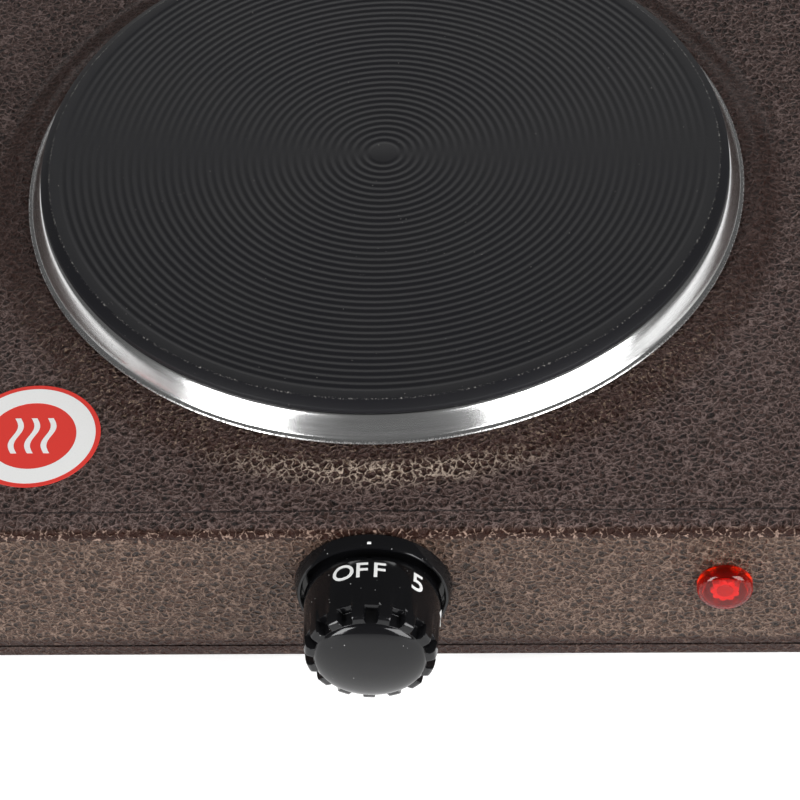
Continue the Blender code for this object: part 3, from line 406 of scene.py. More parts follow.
PAINT = hammertone()
IRON = iron()
STEEL = polished_steel()
BLACK = black_plastic()
PLATED = moulded("plated_steel", (0.42, 0.42, 0.43), (0.62, 0.62, 0.62), 0.34, 1.6, 0.95)
RUBBER = moulded("rubber", (0.012, 0.012, 0.012), (0.028, 0.028, 0.028), 0.72, 2.2, 0.0, 0.00008)
CERAMIC = moulded("ceramic", (0.68, 0.65, 0.58), (0.84, 0.81, 0.74), 0.55, 1.8)
BRASS = moulded("brass", (0.55, 0.36, 0.12), (0.74, 0.53, 0.22), 0.32, 1.5, 0.95)
COVERED = moulded("wire_cover", (0.42, 0.38, 0.33), (0.56, 0.51, 0.45), 0.62, 2.6)
WINDING = moulded("heating_wire", (0.16, 0.14, 0.13), (0.26, 0.23, 0.21), 0.5, 2.0, 0.8)
RED_CLEAR = clear("red_lens", (0.90, 0.026, 0.002), 1.0, 0.03, 0.045)
BULB = clear("bulb_glass", (0.95, 0.86, 0.76), 0.75, 0.04)
RED_STAR = lamp_red("lamp_star", (0.86, 0.085, 0.006), 0.07)
RED_CORE = lamp_red("lamp_core", (0.46, 0.055, 0.006), 0.06)
INK_WHITE = print_ink("white_print", (0.80, 0.80, 0.79))
INK_RED = print_ink("red_print", (0.68, 0.028, 0.017), 0.38)


# ---------------------------------------------------------------- modelling helpers

def ease(t):
    """0 to 1 as t goes from 0 to 1, level at both ends."""
    t = max(0.0, min(1.0, t))
    return t * t * (3 - 2 * t)


def along(axis):
    """A test for edges that run along one axis."""
    def runs(a, b):
        return sum(abs(a[i] - b[i]) for i in range(3) if i != axis) < NEAR
    return runs


def level_at(z):
    """A test for edges that lie level at a height."""
    def lies(a, b):
        return abs(a.z - z) < NEAR and abs(b.z - z) < NEAR
    return lies


def everything(centre, normal):
    return True


def alone(piece):
    """Leaves one object selected and active, in object mode."""
    if bpy.context.object and bpy.context.object.mode != "OBJECT":
        bpy.ops.object.mode_set(mode="OBJECT")
    bpy.ops.object.select_all(action="DESELECT")
    if piece:
        piece.select_set(True)
        bpy.context.view_layer.objects.active = piece


def edit(piece, vertices=None, edges=None, faces=None, open_only=False):
    """Enters edit mode with the vertices, edges or faces selected that a test picks by place."""
    alone(piece)
    bpy.ops.object.mode_set(mode="EDIT")
    kind = "VERT" if vertices else "EDGE" if edges else "FACE"
    bpy.ops.mesh.select_mode(type=kind)
    bpy.ops.mesh.select_all(action="DESELECT")
    bpy.ops.object.mode_set(mode="OBJECT")
    mesh = piece.data
    if vertices:
        for vertex in mesh.vertices:
            vertex.select = bool(vertices(vertex.co))
    elif edges:
        shared = Counter(key for face in mesh.polygons for key in face.edge_keys)
        for line in mesh.edges:
            ends = [mesh.vertices[i].co for i in line.vertices]
            line.select = bool(edges(*ends)) and not (open_only and shared[line.key] > 1)
    elif faces:
        for face in mesh.polygons:
            face.select = bool(faces(face.center, face.normal))
    bpy.ops.object.mode_set(mode="EDIT")


def done():
    """Leaves edit mode."""
    bpy.ops.object.mode_set(mode="OBJECT")


def clean(piece):
    """Merges doubles, then turns the faces outwards."""
    alone(piece)
    bpy.ops.object.mode_set(mode="EDIT")
    bpy.ops.mesh.select_all(action="SELECT")
    bpy.ops.mesh.remove_doubles(threshold=NEAR)
    bpy.ops.mesh.normals_make_consistent(inside=False)
    done()


def turned(profile, steps=96, closed=False):
    """Spins (radius, height) points about the Z axis, as on a lathe."""
    alone(None)
    bpy.ops.mesh.primitive_plane_add(size=0.001)
    piece = bpy.context.object
    bpy.ops.object.mode_set(mode="EDIT")
    bpy.ops.mesh.select_mode(type="VERT")
    bpy.ops.mesh.select_all(action="SELECT")
    bpy.ops.mesh.merge(type="CENTER")
    route = [*profile, profile[0]] if closed else profile
    bpy.ops.transform.translate(value=(route[0][0], 0, route[0][1]))
    for (r0, z0), (r1, z1) in zip(route, route[1:]):
        bpy.ops.mesh.extrude_vertices_move(TRANSFORM_OT_translate={"value": (r1 - r0, 0, z1 - z0)})
    bpy.ops.mesh.select_all(action="SELECT")
    bpy.ops.mesh.spin(steps=steps, angle=math.tau, center=(0, 0, 0), axis=(0, 0, 1))
    clean(piece)
    return piece


def stand(piece, at=(0, 0, 0), turn=(0, 0, 0)):
    """Moves and turns a piece into place, and keeps the place in its mesh."""
    alone(piece)
    piece.rotation_euler = turn
    piece.location = at
    bpy.ops.object.transform_apply(location=True, rotation=True, scale=True)
    return piece


def modify(piece, kind, **settings):
    """Adds a modifier, sets it and applies it."""
    alone(piece)
    modifier = piece.modifiers.new(kind.lower(), kind)
    for name, value in settings.items():
        setattr(modifier, name, value)
    bpy.ops.object.modifier_apply(modifier=modifier.name)
    return piece


def cylinder(radius, low, high, steps=32, at=(0, 0, 0), turn=(0, 0, 0)):
    """A plain cutter along its own Z."""
    alone(None)
    bpy.ops.mesh.primitive_cylinder_add(vertices=steps, radius=radius, depth=high - low,
                                        location=(0, 0, (low + high) / 2))
    piece = bpy.context.object
    stand(piece, piece.location)
    return stand(piece, at, turn)


def hole(radius, at, turn=(0, 0, 0), steps=32, reach=0.004):
    """A cutter that goes through a sheet, as far out on both sides."""
    return cylinder(radius, -reach, reach, steps, at, turn)


def block(size, at, turn=(0, 0, 0)):
    """A plain box, centred on its place."""
    alone(None)
    bpy.ops.mesh.primitive_cube_add(size=1, scale=size)
    piece = bpy.context.object
    bpy.ops.object.transform_apply(location=False, rotation=False, scale=True)
    return stand(piece, at, turn)


def slot_cutter(size, axis, at, turn=(0, 0, 0)):
    """A round-ended slot cutter, 3 mm wide, that goes through a sheet along one axis."""
    slot = block(size, (0, 0, 0))
    edit(slot, edges=along(axis))
    bpy.ops.mesh.bevel(offset=0.00149, segments=5, profile=0.5)
    done()
    return stand(slot, at, turn)


def cut(piece, tools, operation="DIFFERENCE"):
    """Cuts several shapes from a piece at once, and removes them."""
    alone(tools[0])
    for tool in tools:
        tool.select_set(True)
    if len(tools) > 1:
        bpy.ops.object.join()
    tool = tools[0]
    modify(piece, "BOOLEAN", operation=operation, solver="EXACT", object=tool)
    bpy.data.objects.remove(tool, do_unlink=True)
    return piece


def finish_piece(piece, name, material, body, nodes=(), angle=32):
    """Names, shades, paints and hangs a piece on its body, in place of the frame's own nodes."""
    piece.name = name
    alone(piece)
    bpy.ops.object.shade_smooth_by_angle(angle=math.radians(angle))
    piece.data.materials.clear()
    piece.data.materials.append(material)
    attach(piece, body)
    if nodes:
        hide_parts(*nodes)


# ---------------------------------------------------------------- painted body

def rounded_box(low, high, fold, fold_at, open_at):
    """A box with rounded corners and one rolled edge, open on its other side."""
    piece = block(high - low, (low + high) / 2)
    edit(piece, edges=along(2))
    bpy.ops.mesh.bevel(offset=CORNER, segments=10, profile=0.5, clamp_overlap=True)
    done()
    edit(piece, edges=level_at(fold_at))
    bpy.ops.mesh.bevel(offset=fold, segments=6, profile=0.5, clamp_overlap=True)
    done()
    edit(piece, faces=lambda c, n: abs(c.z - open_at) < NEAR)
    bpy.ops.mesh.delete(type="FACE")
    done()
    return piece


def on_panel(centre, normal):
    """A test for the cover's flat top faces."""
    return abs(centre.z - PANEL_Z) < NEAR and normal.z > 0.99


def round_land():
    """The raised land: a smooth slope up from the panel, then flat in to the plate's hole."""
    start, slope_steps = SLOPE_RADIUS + 0.0012, 12
    bends = [(SLOPE_RADIUS + 0.0002, 0.0)]
    for i in range(1, slope_steps + 1):
        t = i / slope_steps
        bends.append((SLOPE_RADIUS + (LAND_RADIUS - SLOPE_RADIUS) * t, EMBOSS_RISE * ease(t)))
    bends += [(LAND_RADIUS - 0.001, EMBOSS_RISE), (HOLE_RADIUS, EMBOSS_RISE)]
    middle = (CENTRE.x, CENTRE.y, PANEL_Z)
    alone(None)
    bpy.ops.mesh.primitive_circle_add(vertices=192, radius=start, location=middle)
    land = bpy.context.object
    bpy.ops.object.mode_set(mode="EDIT")
    bpy.ops.mesh.select_mode(type="EDGE")
    bpy.ops.mesh.select_all(action="SELECT")
    radius, rise = start, 0.0
    for next_radius, next_rise in bends:
        bpy.ops.mesh.extrude_edges_move(TRANSFORM_OT_translate={"value": (0, 0, next_rise - rise)})
        k = next_radius / radius
        bpy.ops.transform.resize(value=(k, k, 1), center_override=middle)
        radius, rise = next_radius, next_rise
    done()
    return stand(land, land.location)


def wall_cutters():
    """Holes for the knob's shaft and screws, the lamp and the cord, and a row of vents at the back."""
    tools = [hole(SHAFT_HOLE, KNOB_AT, FACING_FRONT)]
    tools += [hole(SCREW_HOLE, KNOB_AT + Vector((side * SCREW_REACH, 0, 0)), FACING_FRONT, 20)
              for side in (-1, 1)]
    tools.append(hole(LAMP_BORE, LAMP_AT, FACING_FRONT))
    tools.append(hole(CORD_HOLE, GLAND_AT, FACING_BACK))
    vents, vent_gap, first = 7, 0.009, COVER_HIGH.x / 3 - 0.027
    tools += [slot_cutter((0.003, 0.008, 0.015), 1, (first + vent_gap * i, BACK_Y, GLAND_AT.z))
              for i in range(vents)]
    return tools


def top_cover():
    """Pressed steel cover: folded edges, a pressed line near the front and a raised round land."""
    low, high = Vector(COVER_LOW), Vector((COVER_HIGH.x, COVER_HIGH.y, PANEL_Z))
    cover = rounded_box(low, high, FOLD, PANEL_Z, low.z)
    for y in (CREASE_Y - CREASE_HALF, CREASE_Y, CREASE_Y + CREASE_HALF):
        edit(cover, faces=on_panel)
        bpy.ops.mesh.bisect(plane_co=(0, y, 0), plane_no=(0, 1, 0))
        done()
    edit(cover, faces=lambda c, n: on_panel(c, n) and c.y > CREASE_Y + CREASE_HALF)
    bpy.ops.mesh.inset(thickness=0.0015)
    bpy.ops.mesh.delete(type="FACE")
    done()
    crease_reach = COVER_HIGH.x - FOLD - 0.004
    edit(cover, vertices=lambda p: (abs(p.y - CREASE_Y) < NEAR and abs(p.x) < crease_reach
                                    and p.z > PANEL_Z - NEAR))
    bpy.ops.transform.translate(value=(0, 0, -CREASE_DEEP))
    done()
    land = round_land()
    alone(cover)
    land.select_set(True)
    bpy.ops.object.join()
    edit(cover, edges=level_at(PANEL_Z), open_only=True)
    bpy.ops.mesh.fill(use_beauty=True)
    done()
    clean(cover)
    # an open shell may come out of that with its top turned down
    if sum(face.area * face.normal.z for face in cover.data.polygons) < 0:
        edit(cover, faces=everything)
        bpy.ops.mesh.flip_normals()
        done()
    modify(cover, "SOLIDIFY", thickness=SHEET, offset=-1, use_even_offset=True)
    cut(cover, wall_cutters())
    finish_piece(cover, "painted_cover", PAINT, "housing", ("top_cover",), 30)


def base_tray():
    """Shallow tray under the cover: its wall steps in behind the cover's edge."""
    inset = SHEET + 0.0003
    shelf = TRAY_HIGH.z - 0.006
    low, high = Vector(TRAY_LOW), Vector((TRAY_HIGH.x, TRAY_HIGH.y, shelf))
    tray = rounded_box(low, high, 0.0015, low.z, shelf)
    k = [(half - inset) / half for half in ((high.x - low.x) / 2, (high.y - low.y) / 2)]
    edit(tray, edges=level_at(shelf))
    bpy.ops.mesh.extrude_edges_move(TRANSFORM_OT_translate={"value": (0, 0, 0)})
    bpy.ops.transform.resize(value=(k[0], k[1], 1), center_override=over_floor(low, high, shelf))
    bpy.ops.mesh.extrude_edges_move(TRANSFORM_OT_translate={"value": (0, 0, TRAY_HIGH.z - shelf)})
    done()
    modify(tray, "SOLIDIFY", thickness=SHEET, offset=-1, use_even_offset=True)
    vents, vent_radius = 12, 0.045
    tools = []
    for i in range(vents):
        a = math.tau * i / vents
        at = over_floor(low, high, low.z) + Vector((vent_radius * math.cos(a), vent_radius * math.sin(a), 0))
        tools.append(slot_cutter((0.018, 0.003, 0.008), 2, at, (0, 0, a)))
    for node in [f"foot_screw_{side}" for side in FOOT_SIDES] + ["earth_screw", "terminal_block_screw"]:
        tools.append(hole(FOOT_BORE, over_floor(*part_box(node), low.z), steps=24))
    cut(tray, tools)
    finish_piece(tray, "painted_tray", PAINT, "housing", ("base_tray",), 30)


def feet():
    """Moulded rubber feet with a ribbed side, and cross-headed screws up inside them."""
    for side in FOOT_SIDES:
        low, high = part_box(f"foot_{side}")
        r, h = half_width(low, high), high.z
        recess, recess_top = 0.0045, 0.0050
        foot = turned([
            (FOOT_BORE, h), (r - 0.0020, h), (r - 0.0015, h - 0.0004), (r - 0.0011, h - 0.0030),
            (r - 0.0013, h - 0.0034), (r - 0.0008, h - 0.0038), (r - 0.0004, h - 0.0066),
            (r - 0.0006, h - 0.0070), (r - 0.0001, h - 0.0074), (r, 0.0020), (r - 0.0003, 0.0006),
            (r - 0.0010, 0.0), (recess + 0.0003, 0.0), (recess, 0.0003), (recess, recess_top),
            (FOOT_BORE, recess_top)], 64, True)
        stand(foot, over_floor(low, high))
        finish_piece(foot, f"rubber_foot_{side}", RUBBER, "housing", (f"foot_{side}",), 28)

        node = f"foot_screw_{side}"
        tip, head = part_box(node)[1].z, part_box(node)[0].z
        shank, seat = 0.0020, recess_top - 0.0003
        screw = turned([
            (0, tip), (shank - 0.0005, tip), (shank, tip - 0.0005), (shank, seat), (0.0035, seat),
            (0.0035, 0.0040), (0.0031, 0.0031), (0.0022, 0.0024), (0.0010, head + 0.00005), (0, head)], 40)
        for arm in ((0.0038, 0.0007, 0.0024), (0.0007, 0.0038, 0.0024)):
            cut(screw, [block(arm, (0, 0, head))])
        stand(screw, over_floor(low, high))
        finish_piece(screw, f"cross_screw_{side}", PLATED, "housing", (node,), 30)


# ---------------------------------------------------------------- cooking plate

def cooking_plate():
    """Cast plate: shallow round grooves over the top, a bevelled rim, and a pocket for the winding."""
    r, top, low = PLATE_RADIUS, PLATE_HIGH.z, PLATE_LOW.z
    groove_from, groove_to, grooves, groove_deep = 0.0034, r - 0.0050, 38, 0.00022
    pitch = (groove_to - groove_from) / grooves
    profile = [(0, top)]
    for i in range(grooves):
        for t in (0.0, 0.14, 0.32, 0.5, 0.68, 0.86):
            lower = groove_deep * (0.5 - 0.5 * math.cos(math.tau * t))
            profile.append((groove_from + pitch * (i + t), top - lower))
    side_foot, seat = RING_HIGH.z + 0.0003, LAND_Z + 0.0010
    waist, skirt = r - 0.0019, r - 0.0060
    pocket_out, pocket_in, pocket_deep = 0.0820, 0.0383, 0.0090
    bolt_radius, bolt_deep = 0.0033, 0.0063
    profile += [
        (groove_to, top), (r - 0.0026, top - 0.00003), (r - 0.0022, top - 0.00022),
        (r - 0.0006, top - 0.0012), (r - 0.0002, top - 0.0015), (r, top - 0.0020), (r, side_foot + 0.0003),
        (r - 0.0002, side_foot), (waist, side_foot), (waist, seat), (skirt, seat), (skirt, low),
        (pocket_out, low), (pocket_out, low + pocket_deep), (pocket_in, low + pocket_deep), (pocket_in, low),
        (bolt_radius, low), (bolt_radius, low + bolt_deep), (0, low + bolt_deep)]
    plate = turned(profile, 288)
    stand(plate, CENTRE)
    finish_piece(plate, "grooved_plate", IRON, "housing", ("heating_plate",), 24)


def trim_ring():
    """Spun steel ring: a thin foot, a sloping band and a rolled lip against the plate."""
    foot, low, top = RING_RADIUS, RING_LOW.z, RING_HIGH.z
    lip, wall = PLATE_RADIUS - 0.0016, 0.0008
    band = foot - 0.0011
    shoulder = band - 0.0037
    belly = [(0.0001, 0.0011), (0.0005, 0.0019), (0.0010, 0.0028), (0.0015, 0.0037), (0.0020, 0.0046),
             (0.0025, 0.0054), (0.0029, 0.0059)]
    stretch = (top - low) / 0.0062
    outside = [(band - back, low + up * stretch) for back, up in belly]
    inside = [(band - back - wall, low + max(up * stretch - wall / 2, 0.0002))
              for back, up in reversed(belly)]
    profile = [
        (foot - 0.0002, low), (foot, low + 0.0002), (foot - 0.00005, low + 0.00045),
        (foot - 0.0004, low + 0.0007), (band + 0.0001, low + 0.0009), *outside,
        (band - 0.0033, top - 0.00005), (shoulder, top), (lip + 0.0003, top), (lip, top - 0.0003),
        (lip, top - wall), (shoulder, top - wall), *inside]
    ring = turned(profile, 256, True)
    stand(ring, CENTRE)
    finish_piece(ring, "bright_ring", STEEL, "housing", ("trim_ring",), 50)


# ---------------------------------------------------------------- control knob

KNOB_REACH = FRONT_Y - KNOB_LOW.y
KNOB_BACK = FRONT_Y - KNOB_HIGH.y
TEETH = 15
STEPS_PER_TOOTH = 16
PHASE = math.radians(4)
FLUTE_Z, NOTCH_Z, GRIP_Z = 0.0125, 0.0200, KNOB_REACH - 0.0037
DOME_RADIUS = 0.0140


def skirt_radius(z):
    """The knob's outside at a height in front of the panel."""
    t = max(0.0, min(1.0, (z - KNOB_BACK) / (NOTCH_Z - KNOB_BACK)))
    return KNOB_RADIUS - 0.0005 * t


def knob_rings():
    """(radius, height, pocket depth), from the shaft's bore round the back and up to the dome."""
    back, fore, outside = KNOB_BACK, skirt_radius(NOTCH_Z), KNOB_RADIUS
    bore, boss, inside = 0.0033, 0.0055, 0.0150
    bore_end, hollow_end = 0.0190, 0.0140
    rings = [
        (bore, bore_end, 0), (bore, back + 0.0003, 0), (bore + 0.0003, back, 0), (boss - 0.0003, back, 0),
        (boss, back + 0.0003, 0), (boss, hollow_end, 0), (inside - 0.0002, hollow_end, 0),
        (inside, hollow_end - 0.0003, 0), (inside, back + 0.0003, 0), (inside + 0.0003, back, 0),
        (outside - 0.0006, back, 0), (outside - 0.0002, back + 0.00015, 0), (outside, back + 0.0006, 0),
        (skirt_radius(0.0100), 0.0100, 0), (skirt_radius(FLUTE_Z), FLUTE_Z, 0)]
    flute_steps, flute_deep = 5, 0.00055
    for i in range(1, flute_steps + 1):
        t = i / flute_steps
        z = FLUTE_Z + (NOTCH_Z - FLUTE_Z) * t
        rings.append((skirt_radius(z), z, flute_deep * ease(t)))
    pocket = fore - DOME_RADIUS
    rings += [
        (fore - 0.00005, NOTCH_Z + 0.00025, pocket * 0.92),
        (fore - 0.0001, NOTCH_Z + 0.0006, pocket - 0.0001),
        (fore - 0.0003, NOTCH_Z + 0.0020, pocket - 0.0003),
        (fore - 0.0006, GRIP_Z - 0.0008, pocket - 0.0006),
        (fore - 0.0010, GRIP_Z - 0.0003, pocket - 0.0010),
        (fore - 0.0018, GRIP_Z, pocket - 0.0018),
        (DOME_RADIUS - 0.0001, GRIP_Z + 0.00005, 0)]
    dome_steps, dome_curve = 9, 1.24
    for i in range(1, dome_steps):
        a = math.pi / 2 * i / dome_steps
        rise = (KNOB_REACH - GRIP_Z) * math.sin(a) ** dome_curve
        rings.append((DOME_RADIUS * math.cos(a), GRIP_Z + rise, 0))
    return rings


def pocket_share(offset, z):
    """How far into a pocket a point lies: offset 0 and 1 are pocket centres, 0.5 is a tooth's."""
    from_centre = min(offset, 1 - offset)
    if z < NOTCH_Z + 1e-5:
        return ease((0.40 - from_centre) / 0.24)
    return 1.0 if from_centre < 0.245 else 0.0


def sink_pockets(piece, rings):
    """Draws each ring in between the teeth, by its pocket depth."""
    turn = math.tau / TEETH
    for vertex in piece.data.vertices:
        out = math.hypot(vertex.co.x, vertex.co.y)
        for radius, z, depth in rings:
            if abs(vertex.co.z - z) < NEAR and abs(out - radius) < 2 * NEAR:
                a = math.atan2(vertex.co.y, vertex.co.x)
                offset = (a - math.pi / 2 + PHASE) % turn / turn
                k = (radius - depth * pocket_share(offset, z)) / radius
                vertex.co.x *= k
                vertex.co.y *= k
                break


def knob():
    """Black knob: a plain skirt that breaks into fifteen teeth, closed by a shallow dome."""
    rings = knob_rings()
    alone(None)
    first_radius, first_z, _ = rings[0]
    bpy.ops.mesh.primitive_circle_add(vertices=TEETH * STEPS_PER_TOOTH, radius=first_radius,
                                      fill_type="NGON", location=(0, 0, first_z))
    piece = bpy.context.object
    bpy.ops.object.transform_apply(location=True)
    bpy.ops.object.mode_set(mode="EDIT")
    bpy.ops.mesh.select_mode(type="EDGE")
    bpy.ops.mesh.select_all(action="SELECT")
    bpy.ops.mesh.region_to_loop()
    for (r0, z0, _), (r1, z1, _) in zip(rings, rings[1:]):
        bpy.ops.mesh.extrude_edges_move(TRANSFORM_OT_translate={"value": (0, 0, z1 - z0)})
        k = r1 / r0
        bpy.ops.transform.resize(value=(k, k, 1), center_override=(0, 0, z1))
    bpy.ops.mesh.edge_face_add()
    done()
    sink_pockets(piece, [ring for ring in rings if ring[2] > 0])
    clean(piece)
    modify(piece, "BEVEL", width=0.00014, segments=2, limit_method="ANGLE", angle_limit=math.radians(38))
    nick = block((0.0012, 0.0016, 0.0022), (0, KNOB_RADIUS, KNOB_BACK))
    cut(piece, [nick])
    stand(piece, KNOB_AT, FACING_FRONT)
    finish_piece(piece, "control_knob", BLACK, "knob_assembly", ("knob",), 40)


def dial_print():
    """White marks moulded round the skirt: off at the top, then five down to one."""
    marks = [("O", -22.0), ("F", -6.0), ("F", 8.6), ("5", 44.0), ("4", 91.0), ("3", 138.0),
             ("2", 185.0), ("1", 232.0)]
    size, digit_scale = 0.0063, 1.16
    low, wide = 0.0074, 1.20
    proud, thick = 0.00006, 0.00012
    for index, (mark, angle) in enumerate(marks):
        alone(None)
        bpy.ops.object.text_add()
        text = bpy.context.object
        text.data.body = mark
        text.data.size = size * (digit_scale if mark.isdigit() else 1)
        text.data.align_x = "CENTER"
        text.data.offset = 0.00005
        text.data.resolution_u = 8
        bpy.ops.object.convert(target="MESH")
        letter = bpy.context.object
        clean(letter)
        modify(letter, "SOLIDIFY", thickness=thick, offset=0)
        height = max(v.co.y for v in letter.data.vertices)
        for vertex in letter.data.vertices:
            across, up, out = vertex.co
            z = low + height - up
            radius = skirt_radius(z) + proud + out
            a = math.pi / 2 - math.radians(angle) - across * wide / KNOB_RADIUS
            vertex.co = (radius * math.cos(a), radius * math.sin(a), z)
        clean(letter)
        stand(letter, KNOB_AT, FACING_FRONT)
        finish_piece(letter, f"dial_mark_{index}", INK_WHITE, "knob_assembly", (), 30)


def bezel():
    """The knob's surround: a tapered cup with a thin rim, dark inside, and a small pointer mark."""
    radius, low, high = half_width(BEZEL_LOW, BEZEL_HIGH), FRONT_Y - BEZEL_HIGH.y, FRONT_Y - BEZEL_LOW.y
    rim, inner, floor = radius - 0.0009, KNOB_RADIUS + 0.0008, 0.0013
    cup = turned([
        (SHAFT_HOLE, low), (radius - 0.0002, low), (radius, low + 0.0003), (radius - 0.0004, high - 0.0016),
        (rim + 0.0001, high - 0.0003), (rim - 0.0001, high), (inner + 0.0003, high),
        (inner + 0.0001, high - 0.0003), (inner, high - 0.0008), (inner, floor + 0.0003),
        (inner - 0.0003, floor), (SHAFT_HOLE, floor)], 128, True)
    cut(cup, [cylinder(SCREW_HOLE, low - 0.001, high, 20, (side * SCREW_REACH, 0, 0)) for side in (-1, 1)])
    stand(cup, KNOB_AT, FACING_FRONT)
    finish_piece(cup, "knob_surround", BLACK, "housing", ("knob_bezel",), 34)
    pointer = block((0.0010, 0.0004, 0.0006), (0, radius - 0.00052, high - 0.0011))
    modify(pointer, "BEVEL", width=0.00012, segments=2)
    stand(pointer, KNOB_AT, FACING_FRONT)
    finish_piece(pointer, "pointer_mark", INK_WHITE, "housing", (), 30)


# ---------------------------------------------------------------- pilot lamp, label, gland

LAMP_BORE = half_width(HOLDER_LOW, HOLDER_HIGH) + 0.0003
LAMP_WALL = FRONT_Y - LENS_LOW.y - 0.0012       # the inside of the cap's face


def lamp_cap():
    """Clear red cap with a rounded face."""
    radius, low, high = half_width(LENS_LOW, LENS_HIGH), FRONT_Y - LENS_HIGH.y, FRONT_Y - LENS_LOW.y
    cap = turned([
        (LAMP_BORE, low), (radius - 0.0001, low), (radius, low + 0.0002), (radius, high - 0.0020),
        (radius - 0.00025, high - 0.0012), (radius - 0.0008, high - 0.0006),
        (radius - 0.0016, high - 0.00022), (radius - 0.0026, high - 0.00006), (radius - 0.0045, high),
        (0, high), (0, LAMP_WALL), (LAMP_BORE - 0.0002, LAMP_WALL), (LAMP_BORE, LAMP_WALL - 0.0002),
        (LAMP_BORE, low)], 96)
    stand(cap, LAMP_AT, FACING_FRONT)
    finish_piece(cap, "lamp_cap", RED_CLEAR, "housing", ("lamp_lens",), 40)


def lamp_sleeve():
    """Black tube that holds the bulb."""
    radius, bore, back = 0.0052, 0.0040, -0.0220
    sleeve = turned([
        (radius, back), (radius, LAMP_WALL - 0.0003), (radius - 0.0004, LAMP_WALL - 0.0003),
        (bore, LAMP_WALL - 0.0010), (bore, back)], 64, True)
    stand(sleeve, LAMP_AT, FACING_FRONT)
    finish_piece(sleeve, "lamp_sleeve", BLACK, "housing", ("lamp_holder",), 34)


def lamp_star():
    """Scalloped red moulding behind the cap, and its darker core."""
    petals, radius, thick = 9, 0.003956, 0.0006
    alone(None)
    bpy.ops.mesh.primitive_circle_add(vertices=petals * 12, radius=radius, fill_type="NGON",
                                      location=(0, 0, LAMP_WALL - 0.0011))
    star = bpy.context.object
    bpy.ops.object.transform_apply(location=True)
    for vertex in star.data.vertices:
        a = math.atan2(vertex.co.y, vertex.co.x)
        k = 0.75 + 0.16 * abs(math.sin(petals * a / 2))
        vertex.co.x *= k
        vertex.co.y *= k
    edit(star, faces=everything)
    bpy.ops.mesh.extrude_region_move(TRANSFORM_OT_translate={"value": (0, 0, thick)})
    bpy.ops.mesh.inset(thickness=0.0003)
    bpy.ops.mesh.inset(thickness=0.0008)
    bpy.ops.transform.translate(value=(0, 0, -thick / 2))
    done()
    clean(star)
    stand(star, LAMP_AT, FACING_FRONT)
    finish_piece(star, "lamp_star_moulding", RED_STAR, "housing", (), 40)

    core_radius, face, back = 0.0021, LAMP_WALL - 0.0005, LAMP_WALL - 0.0008
    core = turned([(0, face), (core_radius - 0.0005, face), (core_radius, face - 0.0001),
                   (core_radius, back), (0, back)], 48)
    stand(core, LAMP_AT, FACING_FRONT)
    finish_piece(core, "lamp_core", RED_CORE, "housing", (), 40)


def top_label():
    """A plain round sticker: red border, white band, red middle, and three rising heat waves."""
    radius, low, high = half_width(LABEL_LOW, LABEL_HIGH), LABEL_LOW.z, LABEL_HIGH.z
    at = over_floor(LABEL_LOW, LABEL_HIGH)
    sheet_top = high - 0.00005
    disc = turned([(0, low), (radius - 0.0001, low), (radius, (low + high) / 2),
                   (radius - 0.00005, sheet_top), (0, sheet_top)], 96)
    stand(disc, at)
    finish_piece(disc, "label_sheet", INK_RED, "housing", ("top_label",), 30)

    outer, inner = radius - 0.0013, radius - 0.0062
    band_low, band_high = high - 0.00004, high - 0.00001
    band = turned([(inner, band_low), (outer, band_low), (outer, band_high), (inner, band_high)], 96, True)
    stand(band, at)
    finish_piece(band, "label_white_band", INK_WHITE, "housing", (), 30)

    wave_gap, wave_long, wave_wide, sway = 0.0042, 0.0120, 0.0015, 0.0010
    for index, place in enumerate((-1, 0, 1)):
        wave = block((wave_wide, wave_long, 0.00003), (0, 0, high - 0.000025))
        edit(wave, faces=everything)
        bpy.ops.mesh.subdivide(number_cuts=18)
        done()
        for vertex in wave.data.vertices:
            vertex.co.x += sway * math.sin(vertex.co.y / wave_long * math.tau)
        stand(wave, at + Vector((place * wave_gap, 0, 0)))
        finish_piece(wave, f"label_heat_wave_{index}", INK_WHITE, "housing", (), 30)


def cord_gland():
    """Cord outlet in the back wall: a flanged nose with notches round its end."""
    radius, reach, deep = half_width(GLAND_LOW, GLAND_HIGH), GLAND_HIGH.y - BACK_Y, BACK_Y - GLAND_LOW.y
    bore, neck = 0.00375, 0.0060
    gland = turned([
        (bore + 0.0005, reach), (radius - 0.0034, reach), (radius - 0.0029, reach - 0.0004),
        (radius - 0.0020, 0.0028), (radius - 0.0016, 0.0024), (radius - 0.0003, 0.0021), (radius, 0.0017),
        (radius, 0.0004), (radius - 0.0001, 0.0003), (neck, 0.0003), (neck, -0.0010),
        (neck - 0.0003, -0.0013), (neck, -0.0016), (neck, -deep + 0.0004), (neck - 0.0004, -deep),
        (bore, -deep), (bore, reach - 0.0005)], 96, True)
    notches, notch_radius = 12, 0.0069
    for i in range(notches):
        a = math.tau * i / notches
        at = (notch_radius * math.cos(a), notch_radius * math.sin(a), reach)
        cut(gland, [block((0.0010, 0.0010, 0.0060), at, (0, 0, a))])
    stand(gland, GLAND_AT, FACING_BACK)
    finish_piece(gland, "cord_outlet", BLACK, "housing", ("cord_gland",), 32)


# ---------------------------------------------------------------- inner pieces

